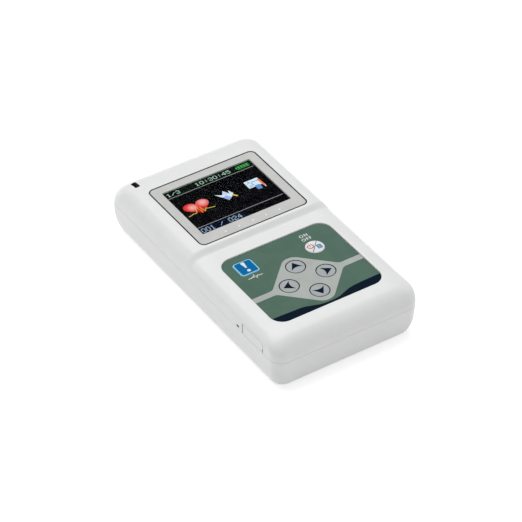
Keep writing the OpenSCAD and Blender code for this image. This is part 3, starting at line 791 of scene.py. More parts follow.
# %% Bottom shell
BAY_Y = -30.1
DOOR_BED, BAY_BED, BAY_BACK, LABEL_BED, LEDGE = 1.7, 16.8, 17.6, 0.3, 3
BOTTOM_TOP = PART - 0.01
door_mouth = rounded(34.4, 58.6, 0.5, 0, -29.5, 4)
label_mouth = rounded(44.4, 32.4, 2.2, 0, 30, 8)
bay_mouth = rounded(30.2, 55, 0.3, 0, BAY_Y, 3)
bay_outer = rounded(32.4, 57.2, 0.8, 0, BAY_Y, 3)
bay_ledge = rounded(36.6, 60.55, 0.8, 0, -29.325, 3)

shell = Skin()
lows = [FOOT[1] * (1 - sin(pi / 2 * (1 - i / 18))) for i in range(19)]
lows += [mix(FOOT[1], PART - GROOVE, i / 8) for i in range(1, 9)]
levels = [lower_level(z) for z in lows] + [lower_level(BOTTOM_TOP, shrink=LIP)]
shell.walls(levels)
shell.layer(0, flat(levels[0]), (door_mouth, label_mouth))
shell.layer(DOOR_BED, door_mouth, [bay_mouth])
shell.layer(BAY_BED, bay_mouth)
shell.layer(LABEL_BED, label_mouth)
inside = [lower_level(z, WALL) for z in (WALL, 2.3, 3.2, 4.6, 6.5, 9, 12)]
inside.append(at(flat(lower_level(PART - WALL, WALL)), BOTTOM_TOP))
shell.walls(inside)
shell.layer(WALL, flat(inside[0]), [bay_ledge])
shell.layer(LEDGE, bay_ledge, [bay_outer])
shell.layer(BAY_BACK, bay_outer)
for loop, low, high in ((door_mouth, 0, DOOR_BED), (bay_mouth, DOOR_BED, BAY_BED),
                        (label_mouth, 0, LABEL_BED), (bay_ledge, WALL, LEDGE),
                        (bay_outer, LEDGE, BAY_BACK)):
    shell.wall(at(loop, low), at(loop, high))
shell.wall(levels[-1], inside[-1])
bottom_shell = as_object(shell)

SCREWS = [(x, y) for x in (-26.4, 26.4) for y in (-53.5, 42)]
HOOKS = (-10, 10)


def at_screws(r, low, high):
    return [prism(disc(r, *spot), "z", low, high) for spot in SCREWS]


screw_posts = at_screws(3.4, 1, 13.7)
screw_wells = at_screws(2.2, -1, 6)
screw_bores = at_screws(1.35, 5, 15)
hook_slots = [block(x - 3, x + 3, -3.6, -0.2, -1, 3.4) for x in HOOKS]
hook_slots += [block(x - 3, x + 3, -3.59, 1.65, 1.8, 3.41) for x in HOOKS]
cut(bottom_shell, *screw_posts, *collar(1.5, PART - 0.02, 3, PART - 0.03), how="UNION")
cut(bottom_shell, *lead_opening(5.4, 16), *screw_wells, *screw_bores, *hook_slots)
finished(bottom_shell, "bottom_shell_skin", "case", "bottom_shell", "shell_white", white_case)

# %% [markdown]
# ## Rows of copies
# Grooves, lamps, contacts and the bars of the battery sign all repeat in even rows. Instead of
# modelling each one, a Geometry Nodes tree places copies of a single shape. A copy's index gives its
# row and its column, and those give its place. Odd rows can be staggered, and each copy can be a
# little narrower than the one before it.


# %% A tree that places copies
def shape_tree(name, **kinds):
    """An empty Geometry Nodes tree and its named inputs, ready to be used as Values."""
    tree = bpy.data.node_groups.new(name, "GeometryNodeTree")
    face = tree.interface
    face.new_socket("Geometry", in_out="OUTPUT", socket_type="NodeSocketGeometry")
    for key, kind in kinds.items():
        face.new_socket(key, in_out="INPUT", socket_type="NodeSocket" + kind)
    graph = Graph(tree)
    sockets = tree.nodes.new("NodeGroupInput").outputs
    return graph, [Value(graph, sockets[key]) for key in kinds]


def ended(graph, shape, finish):
    """Makes the shape real, gives it its finish and sends it out of the tree."""
    solid = graph.node("GeometryNodeRealizeInstances", None, shape)
    dressed = graph.node("GeometryNodeSetMaterial", None, solid, Material=finish)
    graph.plug(graph.tree.nodes.new("NodeGroupOutput").inputs[0], dressed)
    return graph.tree


def grown(tree, **given):
    """The plain mesh object, in millimetres, that a tree makes from the given values."""
    host = placed(tree.name, bpy.data.meshes.new(tree.name))
    step = host.modifiers.new(tree.name, "NODES")
    step.node_group = tree
    for item in tree.interface.items_tree:
        if item.in_out == "INPUT":
            value = given[item.name]
            if item.socket_type == "NodeSocketFloat":
                value = float(value)
            step[item.identifier] = value
    return applied(host)


def copies_tree():
    graph, given = shape_tree("copies_in_rows", Copy="Object", Along="Int", Rows="Int",
                              Pitch="Float", Row_Pitch="Float", Stagger="Float",
                              Centre="Vector", Shrink="Float", Finish="Material")
    copy, along, rows, pitch, row_pitch, stagger, centre, shrink, finish = given
    points = graph.node("GeometryNodePoints", None, along * rows)
    index = graph.node("GeometryNodeInputIndex")
    row = ((index + 0.01) / along).floor()
    column = index - row * along
    x = (column - (along - 1) / 2) * pitch + (row % 2 - 0.5) * stagger
    y = (row - (rows - 1) / 2) * row_pitch
    spot = graph.node("ShaderNodeCombineXYZ", None, x, y)
    spot = graph.node("ShaderNodeVectorMath", {"operation": "ADD"}, spot, centre)
    placed = graph.node("GeometryNodeSetPosition", None, points, Position=spot)
    size = graph.node("ShaderNodeCombineXYZ", None, 1 - index * shrink, 1.0, 1.0)
    one = graph.node("GeometryNodeObjectInfo", None, copy, out="Geometry")
    every = graph.node("GeometryNodeInstanceOnPoints", None, placed, Instance=one, Scale=size)
    return ended(graph, every, finish)


COPIES = copies_tree()


def copies(one, along, rows, pitch, row_pitch=0, stagger=0, centre=(0, 0, 0), shrink=0,
           finish=white_case):
    """Copies of one shape in rows. centre is the middle of them all."""
    pattern = as_object(one)
    made = grown(COPIES, Copy=pattern, Along=along, Rows=rows, Pitch=pitch, Row_Pitch=row_pitch,
                 Stagger=stagger, Centre=tuple(map(float, centre)), Shrink=shrink,
                 Finish=finish.material)
    bpy.data.objects.remove(pattern)
    return made


def as_skin(thing):
    """An object's mesh as a bmesh, and the object is gone."""
    mesh = bmesh.new()
    mesh.from_mesh(thing.data)
    bpy.data.objects.remove(thing)
    return mesh


print("the tree of copies has", len(COPIES.nodes), "nodes")

# %% [markdown]
# ## Battery door
# The door is a plate with two hooks at its hinge edge. Its lower edge is rounded by five thin rings
# of wall. A shallow thumb dish and five short grooves show where to press: the dish is cut with a
# large ball, and the grooves are one bar in a row of five, each shorter than the last.

# %% Battery door
DOOR_W, DOOR_L, DOOR_T, DOOR_Y, DOOR_EDGE = 34, 58.25, 1.6, -29.475, 0.35
door_loop = rounded(DOOR_W, DOOR_L, 0.4, 0, DOOR_Y, 4)
rings = []
for i in range(5):
    inward, down = DOOR_EDGE * (1 - cos(pi / 8 * i)), DOOR_EDGE * (1 - sin(pi / 8 * i))
    rings.append(at(rounded(DOOR_W - 2 * inward, DOOR_L - 2 * inward, 0.4 + 0.3 * DOOR_EDGE,
                            0, DOOR_Y, 4), down))
skin = Skin()
skin.layer(0, flat(rings[-1]))
skin.walls(rings[::-1] + [at(door_loop, DOOR_T)])
skin.layer(DOOR_T, door_loop)
door = as_object(skin)
hooks = []
for x in HOOKS:
    hooks += [block(x - 2.5, x + 2.5, -1.35, -0.45, 1.5, 2.6),
              block(x - 2.5, x + 2.5, -0.5, 1.15, 1.9, 2.6)]
cut(door, *hooks, how="UNION")
dish = bmesh.new()
bmesh.ops.create_uvsphere(dish, u_segments=64, v_segments=48, radius=10)
bmesh.ops.translate(dish, verts=dish.verts, vec=(0, -49.6, -9.4))
groove = prism(rounded(12, 0.9, 0.44, 0, 0, 6), "z", -1, 0.4)
grooves = copies(groove, 1, 5, 0, 2.0, centre=(0, -39.2, 0), shrink=0.13)
cut(door, dish, as_skin(grooves))
finished(door, "battery_door_plate", "battery_door_body", "battery_door", "shell_white", white_case)

# %% [markdown]
# ## Port cover
# The little cover on the left side swings on a pin at its far end. Its outline is a slab with a
# round end centred on that pin, so the gap stays even while it turns. A bevel softens it all round,
# its free end has a small chamfer, and a half-moon notch takes a fingernail.

# %% Port cover
HINGE_R, COVER_SOFT = 0.95, 0.22
hinge_end = [(PIN[0] + HINGE_R * cos(radians(a)), PIN[1] + HINGE_R * sin(radians(a)))
             for a in range(0, 181, 12)]
cover_loop = hinge_end + [(-33.3, -53.3), (-31.8, -53.3), (-31.8, PIN[1] - 0.76)]
cover = as_object(prism(cover_loop, "z", 13.95, 18.55))
step = cover.modifiers.new("edges", "BEVEL")
step.width, step.segments = COVER_SOFT, 3
step.limit_method, step.angle_limit = "ANGLE", radians(40)
applied(cover)
cut(cover, prism(disc(0.5, *PIN, 32), "z", 13, 20),
    prism([(-33.5, -53.5), (-32.75, -53.5), (-33.5, -52.9)], "z", 13, 20),
    prism(moved(disc(0.85), -53.3, 15.05), "x", -34, -32.6))
finished(cover, "port_cover_flap", "port_cover_body", "port_cover", "shell_white", white_case)

# %% [markdown]
# ## Flat plates with prints
# The display frame, the gasket, the window, the film and the key caps are all thin plates with a
# rounded upper edge. `plate` fills the outline, gives each printed area its own ink by testing where
# each triangle lies, and runs the edge down in a small arc.


# %% Plates
def plate(outline, z, depth, holes=(), prints=(), edge_r=0.1, lift=None, extra=(), n=3, skirt=None):
    """A plate whose flat top is the outline. prints are (loop, ink index), later ones on top.
    skirt is (width, drop, ink index): a lower ledge round the plate."""
    # The top: triangles that respect every print, each with the ink of the print it lies in.
    spots, faces, middles = filled(outline, holes, [loop for loop, _ in prints], extra)
    inks = np.zeros(len(faces), int)
    for loop, index in prints:
        inks[within(loop, middles)] = index
    mesh = bmesh.new()
    height = lift or (lambda x, y: 0)
    top = [mesh.verts.new((x, y, z + height(x, y))) for x, y in spots]
    for f, index in zip(faces, inks):
        mesh.faces.new([top[i] for i in f]).material_index = int(index)
    mesh.normal_update()
    for face in mesh.faces:
        if face.normal.z < 0:
            face.normal_flip()
    # The rim: its edges have one face, and each of its points leans out of both its neighbours.
    sides, lean = [], {}
    for line in mesh.edges:
        if len(line.link_loops) == 1:
            loop = line.link_loops[0]
            a, b = loop.vert, loop.link_loop_next.vert
            out = Vector((b.co.y - a.co.y, a.co.x - b.co.x)).normalized()
            sides.append((a, b, loop.face.material_index))
            lean.setdefault(a, []).append(out)
            lean.setdefault(b, []).append(out)
    way = {}
    for vert, outs in lean.items():
        mean = sum(outs, Vector((0, 0))).normalized()
        way[vert] = mean / max(mean.dot(outs[0]), 0.3)
    # The bands: from the rim down in a small arc, over the skirt and down to the base.
    last = {vert: vert for vert in way}
    turns = [pi / 2 * i / n for i in range(1, n + 1)] if edge_r else []
    rings = [(edge_r * sin(a), edge_r * (1 - cos(a)), None) for a in turns]
    reach = edge_r
    if skirt:
        reach += skirt[0]
        rings += [(edge_r, skirt[1], None), (reach, skirt[1], skirt[2])]
    for grow, drop, band_ink in rings + [(reach, depth, skirt[2] if skirt else None)]:
        fresh = {}
        for vert, out in way.items():
            start = vert.co.z if drop <= edge_r else z
            fresh[vert] = mesh.verts.new((vert.co.x + out.x * grow, vert.co.y + out.y * grow,
                                          start - drop))
        for a, b, side_ink in sides:
            band = mesh.faces.new((last[b], last[a], fresh[a], fresh[b]))
            band.material_index = side_ink if band_ink is None else band_ink
        last = fresh
    # The base: the top's triangles once more, turned over.
    base = {vert: last.get(vert) or mesh.verts.new((vert.co.x, vert.co.y, z - depth))
            for vert in top if vert.link_faces}
    for f, index in zip(faces, inks):
        if len({base[top[i]] for i in f}) == len(f):
            mesh.faces.new([base[top[i]] for i in reversed(f)]).material_index = int(index)
    loose = [v for v in mesh.verts if not v.link_faces]
    bmesh.ops.delete(mesh, geom=loose, context="VERTS")
    return mesh


print("plates take an outline, holes, prints and a rounded edge")

# %% [markdown]
# ## Display frame and gasket
# A light grey frame sits flush in its recess, with a thin black gasket pressed round it. The gasket
# is what draws the black outline in the photograph, so it is a ring of its own and not a print.

# %% Display frame and gasket
EDGE = 0.15
LAMP_X, LAMP_Y = 0.3, 5.9
screen_hole = rounded(41.4 + 2 * EDGE, 31.2 + 2 * EDGE, 0.4 + EDGE, 0, SCREEN_Y, 5)
lamp_holes = [disc(0.57 + EDGE, LAMP_X + 6.3 * i, LAMP_Y, 28) for i in range(-2, 3)]
frame_loop = rounded(49.4 - 2 * EDGE, 41.1 - 2 * EDGE, 2.15 - EDGE, 0, FRAME_Y, 14)
display_frame = as_object(plate(frame_loop, 24.72, 0.82, [screen_hole, *lamp_holes], edge_r=EDGE))
finished(display_frame, "display_frame_plate", "case", "display_frame", "frame_grey", grey_frame)

gasket_out = rounded(50.26 - 0.1, 41.96 - 0.1, 2.55, 0, FRAME_Y, 14)
gasket_in = rounded(49.42 + 0.1, 41.12 + 0.1, 2.2, 0, FRAME_Y, 14)
gasket = as_object(plate(gasket_out, 24.77, 0.87, [gasket_in], edge_r=0.05, n=2))
finished(gasket, "frame_gasket_ring", "case", "frame_gasket", "gasket_black", black_gasket)

# %% [markdown]
# ## Indicator lamps
# Five small pale lenses stand in the frame's lower edge. They are one moulded shape, so the tree of
# copies sets one low disc in a row of five.

# %% Indicator lamps
lamp = plate(disc(0.42, n=28), 0, 0.8, edge_r=0.13)
lamps = copies(lamp, 5, 1, 6.3, centre=(LAMP_X, LAMP_Y, 24.78), finish=lamp_diffuser)
finished(lamps, "indicator_lamps", "case", "indicator_lenses", "lamp_white", lamp_diffuser)

# %% [markdown]
# ## Window
# The window is a clear plate with an anti-reflection coat, so the screen stays black under white
# light. Its index of refraction is set low to stand for that coat.

# %% Window
window_plate = as_object(plate(rounded(41.1, 30.9, 0.25, 0, SCREEN_Y, 5), 24.3, 0.3, edge_r=0.08))
finished(window_plate, "display_window", "case", "display_lens", "lens_clear", clear_window)

# %% [markdown]
# ## The picture on the screen
# The screen shows a menu: a status bar with a clock and a battery sign, three pictures, and a bar at
# the foot. Each area is a very thin sheet, and each kind of light is one finish. The pictures are
# plain signs of our own: a heart with a trace, a folded paper plane, and a chart with a pen. The
# words of such a menu are left out, and only numbers stand in their place.


# %% Screen shapes
PICTURE_Y = 24.7
DOT_PITCH, DOT_GAP = 0.35, 0.012
DOTS = {"0": (14, 17, 17, 17, 17, 17, 14), "1": (4, 12, 4, 4, 4, 4, 14),
        "2": (14, 17, 1, 6, 8, 16, 31), "3": (14, 17, 1, 6, 1, 17, 14),
        "4": (2, 6, 10, 18, 31, 2, 2), "5": (31, 16, 30, 1, 1, 17, 14),
        ":": (0, 4, 4, 0, 4, 4, 0), "/": (0, 1, 2, 4, 8, 16, 0), " ": (0,)}


class Picture:
    """Thin sheets on the panel, in millimetres from the picture's centre."""

    def __init__(self):
        self.mesh, self.finishes = bmesh.new(), []

    def ink_of(self, finish):
        if finish not in self.finishes:
            self.finishes.append(finish)
        return self.finishes.index(finish)

    def take(self, mesh, finish, z):
        """Adds a mesh made at height 0, as a sheet at height z."""
        index = self.ink_of(finish)
        bmesh.ops.translate(mesh, verts=mesh.verts, vec=(0, PICTURE_Y, z))
        for face in mesh.faces:
            face.material_index = index
        data = bpy.data.meshes.new("sheet")
        mesh.to_mesh(data)
        mesh.free()
        self.mesh.from_mesh(data)
        bpy.data.meshes.remove(data)

    def sheet(self, loop, finish, z, holes=()):
        self.take(plate(loop, 0, 0.02, holes, edge_r=0), finish, z)

    def numbers(self, words, x, y, finish, z, rise=0.35):
        """Numbers built of dots, from the lower left at x and y."""
        for place, sign in enumerate(words):
            for row, bits in enumerate(DOTS[sign]):
                lit_dots = [c for c in range(5) if bits >> (4 - c) & 1]
                starts = [c for c in lit_dots if c - 1 not in lit_dots]
                ends = [c + 1 for c in lit_dots if c + 1 not in lit_dots]
                for start, end in zip(starts, ends):
                    left = x + (place * 6 + start) * DOT_PITCH
                    right = x + (place * 6 + end) * DOT_PITCH
                    self.sheet(rounded(right - left, rise - DOT_GAP, 0.02, (left + right) / 2,
                                       y + (6.5 - row) * rise, 1), finish, z)

    def line(self, points, width, finish, z):
        self.sheet(ribbon(points, width), finish, z)


def ribbon(points, width):
    """The outline of a line with flat ends and mitred bends."""
    ways = [(Vector(b) - Vector(a)).normalized() for a, b in zip(points, points[1:])]
    left, right = [], []
    for p, before, after in zip(points, ways[:1] + ways, ways + ways[-1:]):
        mean = (before + after).normalized()
        grow = width / 2 / max(mean.dot(before), 0.5)
        left.append((p[0] - mean.y * grow, p[1] + mean.x * grow))
        right.append((p[0] + mean.y * grow, p[1] - mean.x * grow))
    return right + left[::-1]


def lettering(words, size, x, y):
    """Words in plain capitals as a thin mesh, centred on x and with their foot at y."""
    data = bpy.data.curves.new("label", "FONT")
    data.body, data.size, data.align_x, data.extrude = words, size, "CENTER", 0.01
    data.resolution_u, data.offset, data.space_character = 3, 0.035, 1.2
    text = placed("label", data)
    made = evaluated(text)
    bpy.data.objects.remove(text)
    mesh = bmesh.new()
    mesh.from_mesh(made)
    bpy.data.meshes.remove(made)
    bmesh.ops.remove_doubles(mesh, verts=mesh.verts, dist=1e-4)
    bmesh.ops.translate(mesh, verts=mesh.verts, vec=(x, y, 0))
    return mesh


print("signs that can be drawn in dots:", "".join(DOTS))


# %% [markdown]
# ## Status bar and foot bar
# A panel of this kind shows its clock, its count and its battery level in bars across the top and
# the foot. The numbers are runs of dots in a grid of five by seven, as on a real panel. Four heights,
# a few hundredths of a millimetre apart, keep one sheet from lying in another.

# %% Status bar and foot bar
GROUND_Z, BAR_Z, SIGN_Z, MARK_Z = 23.73, 23.76, 23.79, 23.83
picture = Picture()
picture.sheet(rounded(42.6, 32.6, 0.3, 0, 0.2), screen_black, GROUND_Z)
picture.sheet(rounded(41.8, 4.0, 0.1, 0, 13.9), screen_bar, BAR_Z)
picture.sheet(rounded(21.8, 4.3, 0.1, -9.7, -12.7), screen_foot, BAR_Z)
picture.sheet(rounded(40.4, 0.2, 0.05, 0, 11.9, 2), screen_line, SIGN_Z)
picture.sheet(rounded(40.4, 0.2, 0.05, 0, -10.2, 2), screen_line, SIGN_Z)
picture.numbers("1/3", -19.4, 13.0, screen_text, SIGN_Z, 0.3)
picture.numbers("10:30:45", -6.1, 13.0, screen_text, SIGN_Z, 0.3)
picture.numbers("001 / 024", -19.6, -14.1, screen_foot_text, SIGN_Z, 0.4)

BATTERY = (16.5, 14.1)
bars = copies(plate(rounded(0.85, 1.3, 0.12), 0, 0.02, edge_r=0), 4, 1, 1.25,
              centre=(*BATTERY, 0), finish=screen_green)
picture.take(as_skin(bars), screen_green, MARK_Z)
picture.sheet(rounded(5.7, 2.0, 0.3, *BATTERY, 4), screen_green, SIGN_Z,
              [rounded(5.3, 1.65, 0.2, *BATTERY, 4)])
picture.sheet(rounded(0.45, 0.9, 0.1, 13.35, 14.1, 3), screen_green, SIGN_Z)
print("status bar and foot bar drawn")

# %% [markdown]
# ## Heart and paper plane
# The heart is a well-known curve of sines and cosines, which gives two full lobes and a clean tip.
# The plane is four flat folds in three tints, each a hair higher than the last, so no two share an
# edge.

# %% Heart and paper plane
heart_loop = []
for i in range(72):
    a = 2 * pi * i / 72
    lobe = 13 * cos(a) - 5 * cos(2 * a) - 2 * cos(3 * a) - cos(4 * a)
    heart_loop.append((-12.75 + 5.65 * sin(a) ** 3, 1.6 + 0.295 * lobe))
picture.sheet(heart_loop[::-1], screen_heart, SIGN_Z)
beat = [(-19.0, -2.2), (-17.6, -2.0), (-16.5, -1.6), (-15.6, -1.9), (-14.8, -1.4), (-13.5, 3.1),
        (-12.9, -2.7), (-12.2, 0.9), (-11.5, -2.4), (-10.4, -1.0), (-9.4, -1.6), (-8.1, -1.8),
        (-6.6, -2.1)]
picture.line(beat, 0.3, screen_trace, MARK_Z)

plane = (([(-3.2, 4.1), (-1.3, 1.1), (0.7, 1.4), (-0.6, 2.4)], screen_card),
         ([(-0.6, 2.4), (0.7, 1.4), (2.4, 1.8), (0.9, 4.7)], screen_pale),
         ([(-1.3, 1.1), (0.2, -1.8), (2.2, -0.5), (0.7, 1.4)], screen_mid),
         ([(0.7, 1.4), (2.2, -0.5), (3.9, 1.2), (2.9, 3.8), (2.4, 1.8)], screen_card))
for i, (fold, finish) in enumerate(plane):
    picture.sheet(fold, finish, SIGN_Z + 0.004 * i)
picture.line([(3.0, 0.6), (4.4, -1.3)], 0.7, screen_trace, SIGN_Z + 0.02)
print("heart and paper plane drawn")

# %% [markdown]
# ## Chart with a pen
# The third picture is a white card with a trace and two lines on it, a blue box at its foot and a pen
# across it. Each stroke is a ribbon along a few points, which is quicker to read than a mesh.

# %% Chart with a pen
picture.sheet(rounded(6.4, 4.7, 0.3, 14.0, 2.3), screen_card, SIGN_Z)
picture.line([(11.3, 2.9), (12.1, 3.0), (12.6, 4.1), (13.3, 1.7), (13.9, 3.3), (14.6, 2.9),
              (16.5, 3.0)], 0.3, screen_shade, MARK_Z)
for row in range(2):
    picture.line([(11.4, 1.3 - 0.7 * row), (14.4 - row, 1.3 - 0.7 * row)], 0.26, screen_shade,
                 MARK_Z)
picture.sheet(rounded(2.2, 2.9, 0.3, 14.7, -0.9), screen_shade, SIGN_Z + 0.02)
picture.line([(16.9, 3.6), (17.3, -1.2)], 0.95, screen_orange, MARK_Z)
picture.line([(17.3, -1.2), (17.35, -2.2)], 0.5, screen_pale, MARK_Z)
screen = as_object(picture.mesh)
finished(screen, "screen_picture", "case", None, "lcd_dark", *picture.finishes)

# %% [markdown]
# ## Lozenge and wave
# A grey lozenge whose arms run to both edges is printed behind the arrow keys, and a dark wave along
# the lower edge. The lozenge is arcs and straight lines, worked out for one corner and mirrored. The
# wave has no such rule, so a smooth curve runs through a few points read off its edge.

# %% Lozenge and wave
LOZENGE_Y, HALF_DIAGONAL, TIP_R, ARM = -34.1, 16.9, 5.3, 1.45


def tip(up):
    """The rounded top or bottom of the lozenge, from right to left when up is 1."""
    centre = HALF_DIAGONAL - TIP_R * sqrt(2)
    return [(TIP_R * sin(radians(a)) * up, up * (centre + TIP_R * cos(radians(a))))
            for a in range(45, -46, -9)]


def bend(sx, sy):
    """The hollow curve where an arm runs into the lozenge."""
    r, turn_x = 3.0, HALF_DIAGONAL - ARM
    cx, cy = turn_x + r * (sqrt(2) - 1), ARM + r
    arc = [(cx - r * sin(radians(a)), cy - r * cos(radians(a))) for a in range(0, 46, 9)]
    return [(sx * x, sy * y) for x, y in arc]


lozenge = [(24.99, -ARM), (24.99, ARM)] + bend(1, 1) + tip(1) + bend(-1, 1)[::-1]
lozenge += [(-24.99, ARM), (-24.99, -ARM)] + bend(-1, -1) + tip(-1) + bend(1, -1)[::-1]
lozenge = moved(lozenge, 0, LOZENGE_Y)

WAVE = [(-26, -46.7), (-20, -46.85), (-14.9, -47.1), (-11.2, -47.3), (-7.5, -48.4), (-4.3, -49.5),
        (-0.2, -49.9), (3.4, -49.7), (6.35, -48.8), (10.1, -47.5), (14, -47.0), (19, -46.8),
        (26, -46.7)]


def curved(points, n=5):
    """A smooth line through the points."""
    out = []
    for i in range(len(points) - 1):
        p = [Vector(points[min(max(i + k, 0), len(points) - 1)]) for k in (-1, 0, 1, 2)]
        for j in range(n):
            t = j / n
            out.append(tuple(0.5 * (2 * p[1] + (p[2] - p[0]) * t
                                    + (2 * p[0] - 5 * p[1] + 4 * p[2] - p[3]) * t * t
                                    + (3 * p[1] - p[0] - 3 * p[2] + p[3]) * t ** 3)))
    return out + [points[-1]]


wave = [(-26, -54), (26, -54)] + curved(WAVE)[::-1]
print("lozenge and wave:", len(lozenge), "and", len(wave), "points")

# %% [markdown]
# ## Keypad film
# The film is one sheet with five round holes and a square one. The dark ring round each arrow key is
# a print on this film, so it stays in place while the key goes down.

# %% Keypad film
TURNS = {"key_up": 0, "key_down": 180, "key_left": 90, "key_right": -90}
FILM_EDGE = 0.12
film_loop = rounded(50 - 2 * FILM_EDGE, 43.9 - 2 * FILM_EDGE, 5.4, 0, KEYPAD_Y, 14)
film_holes = [disc(3.95 + FILM_EDGE, *spot) for spot in KEYS.values()]
film_holes.append(rounded(8.6 + 2 * FILM_EDGE, 8.6 + 2 * FILM_EDGE, 1.5, *MARK, 6))
rings = [(disc(3.98 + FILM_EDGE, *KEYS[name]), 3) for name in TURNS]
film = as_object(plate(film_loop, 22.4, 0.8, film_holes, [(lozenge, 1), (wave, 2), *rings],
                       FILM_EDGE))
finished(film, "keypad_film", "case", "keypad_overlay", "overlay_green",
         green_ink, grey_ink, navy_ink, ring_ink)

# %% [markdown]
# ## Labels printed on the film
# White ink stands a few microns above the film. ON and OFF mark the power key, and a small pulse
# trace marks the key below it, in place of words.

# %% Labels printed on the film
label_words = Picture()
ON_FILM = KEYPAD_Y - PICTURE_Y
for words, y in (("ON", 17.5), ("OFF", 15.15)):
    label_words.take(lettering(words, 2.3, 13.0, ON_FILM + y), white_ink, 22.405)
pulse = [(-19.4, 7.5), (-17.9, 7.5), (-17.4, 7.9), (-16.9, 7.4), (-16.4, 9.0), (-15.9, 6.7),
         (-15.5, 7.6), (-14.9, 7.9), (-14.4, 7.5), (-12.9, 7.5)]
label_words.line([(x, ON_FILM + y) for x, y in pulse], 0.34, white_ink, 22.405)
words = as_object(label_words.mesh)
finished(words, "keypad_labels", "case", None, "overlay_green", white_ink)

# %% [markdown]
# ## Keys
# Each key is a low crowned cap on a stem, with a flange under the shell that stops it from lifting
# out. In a membrane the film runs on over the key, so a cap has a skirt, a little lower than its
# face, that closes most of the gap and still clears the film when the key goes down.

# %% Key shapes
CAP_R, CAP_TOP, CAP_DEPTH, CAP_EDGE = 3.7, 22.52, 0.87, 0.14
SKIRT = (0.2, 0.3)
ARROW = [(0, 2.66)] + [(0.34 * i, -0.5 - 0.0166 * i * i) for i in range(-8, 9)]


def stem(x, y):
    """Stem and flange: a turned profile under the cap."""
    skin = Skin()
    steps = [(2.3, 19.5), (2.3, 19.9), (1.6, 19.9), (1.6, 21.8)]
    loops = [at(disc(r, x, y, 32), z) for r, z in steps]
    skin.layer(19.5, flat(loops[0]))
    skin.walls(loops)
    skin.layer(21.8, flat(loops[-1]))
    return skin


def key_cap(name, spot, outline, prints, finishes, slot_name, skirt_ink, reach=CAP_R, sag=0.1):
    """A crowned cap on its stem, with a skirt that closes most of the gap round it."""
    x0, y0 = spot
    grid = [(x0 + reach * s * cos(a), y0 + reach * s * sin(a))
            for s in (0.3, 0.6, 0.85) for a in (2 * pi * (i + 0.4) / 20 for i in range(20))]

    def crowned(x, y):
        return -sag * min(((x - x0) ** 2 + (y - y0) ** 2) / reach ** 2, 1)

    cap = as_object(plate(moved(outline, x0, y0), CAP_TOP, CAP_DEPTH, (),
                          [(moved(loop, x0, y0), i) for loop, i in prints], CAP_EDGE, crowned, grid,
                          skirt=(*SKIRT, skirt_ink)))
    cut(cap, stem(x0, y0), how="UNION")
    finished(cap, name + "_cap", name + "_body", name, slot_name, *finishes)


print("a key cap is", 2 * CAP_R, "mm wide")

# %% [markdown]
# ## Arrow keys
# Four equal caps with a dark arrow. The arrow has a hollow foot, drawn as a parabola, and each key
# turns it to its own side.

# %% Arrow keys
cap_loop = disc(CAP_R - CAP_EDGE, n=64)
for name, angle in TURNS.items():
    key_cap(name, KEYS[name], cap_loop, [(moved(ARROW, 0, 0, angle), 1)],
            (pale_ink, arrow_ink, ring_ink), "key_pale", 2)

# %% [markdown]
# ## Power key
# A white disc, split by a thin line: a red open ring with a bar on one half, a blue page on the
# other. All of it is flat print, so it is drawn as outlines in the cap's own face.


# %% Power key
def arc(r, start, stop, width, cx=0, cy=0, n=24):
    """A curved band, as an outline."""
    angles = [radians(mix(start, stop, i / n)) for i in range(n + 1)]
    outer = [(cx + (r + width / 2) * cos(a), cy + (r + width / 2) * sin(a)) for a in angles]
    inner = [(cx + (r - width / 2) * cos(a), cy + (r - width / 2) * sin(a)) for a in angles]
    return outer + inner[::-1]


divider = ribbon([(2.4, 2.6), (-2.4, -2.6)], 0.24)
power_sign = arc(1.2, 120, 420, 0.4, -1.5, 0.85)
power_bar = ribbon([(-1.5, 0.7), (-1.5, 2.4)], 0.4)
page = rounded(2.0, 2.5, 0.2, 1.6, -0.85, 4)
page_line = [rounded(1.2, 0.24, 0.08, 1.6, -0.25 - 0.65 * i, 2) for i in range(3)]
power_prints = [(divider, 1), (power_sign, 2), (power_bar, 2), (page, 3)]
power_prints += [(loop, 0) for loop in page_line]
key_cap("key_power", KEYS["key_power"], cap_loop, power_prints,
        (white_ink, arrow_ink, red_ink, blue_ink), "key_white", 0)

# %% [markdown]
# ## Mark key
# A blue square with a light rim and an exclamation sign. The person who wears the recorder presses it
# when they feel something, so it is the only coloured key. Its crown is wider and a little deeper.

# %% Mark key
stroke = [(-0.85, 3.05), (-0.28, -0.35), (0.28, -0.35), (0.85, 3.05), (0.45, 3.3), (-0.45, 3.3)]
MARK_W = 8.1
mark_loop = rounded(MARK_W - 2 * CAP_EDGE, MARK_W - 2 * CAP_EDGE, 1.1)
mark_prints = [(rounded(MARK_W - 0.8, MARK_W - 0.8, 0.85), 1), (stroke, 2), (disc(0.72, 0, -2.1), 2)]
key_cap("key_mark", MARK, mark_loop, mark_prints, (cyan_ink, blue_ink, white_ink), "key_blue",
        0, 5.6, 0.12)

# %% [markdown]
# ## Battery cells
# Two cells lie head to tail in the bay. A cell is a turned part, so its half profile, with sleeve,
# rolled rim and nub, is spun round its own axis.


# %% Battery cells
CELL_Z = 9.25


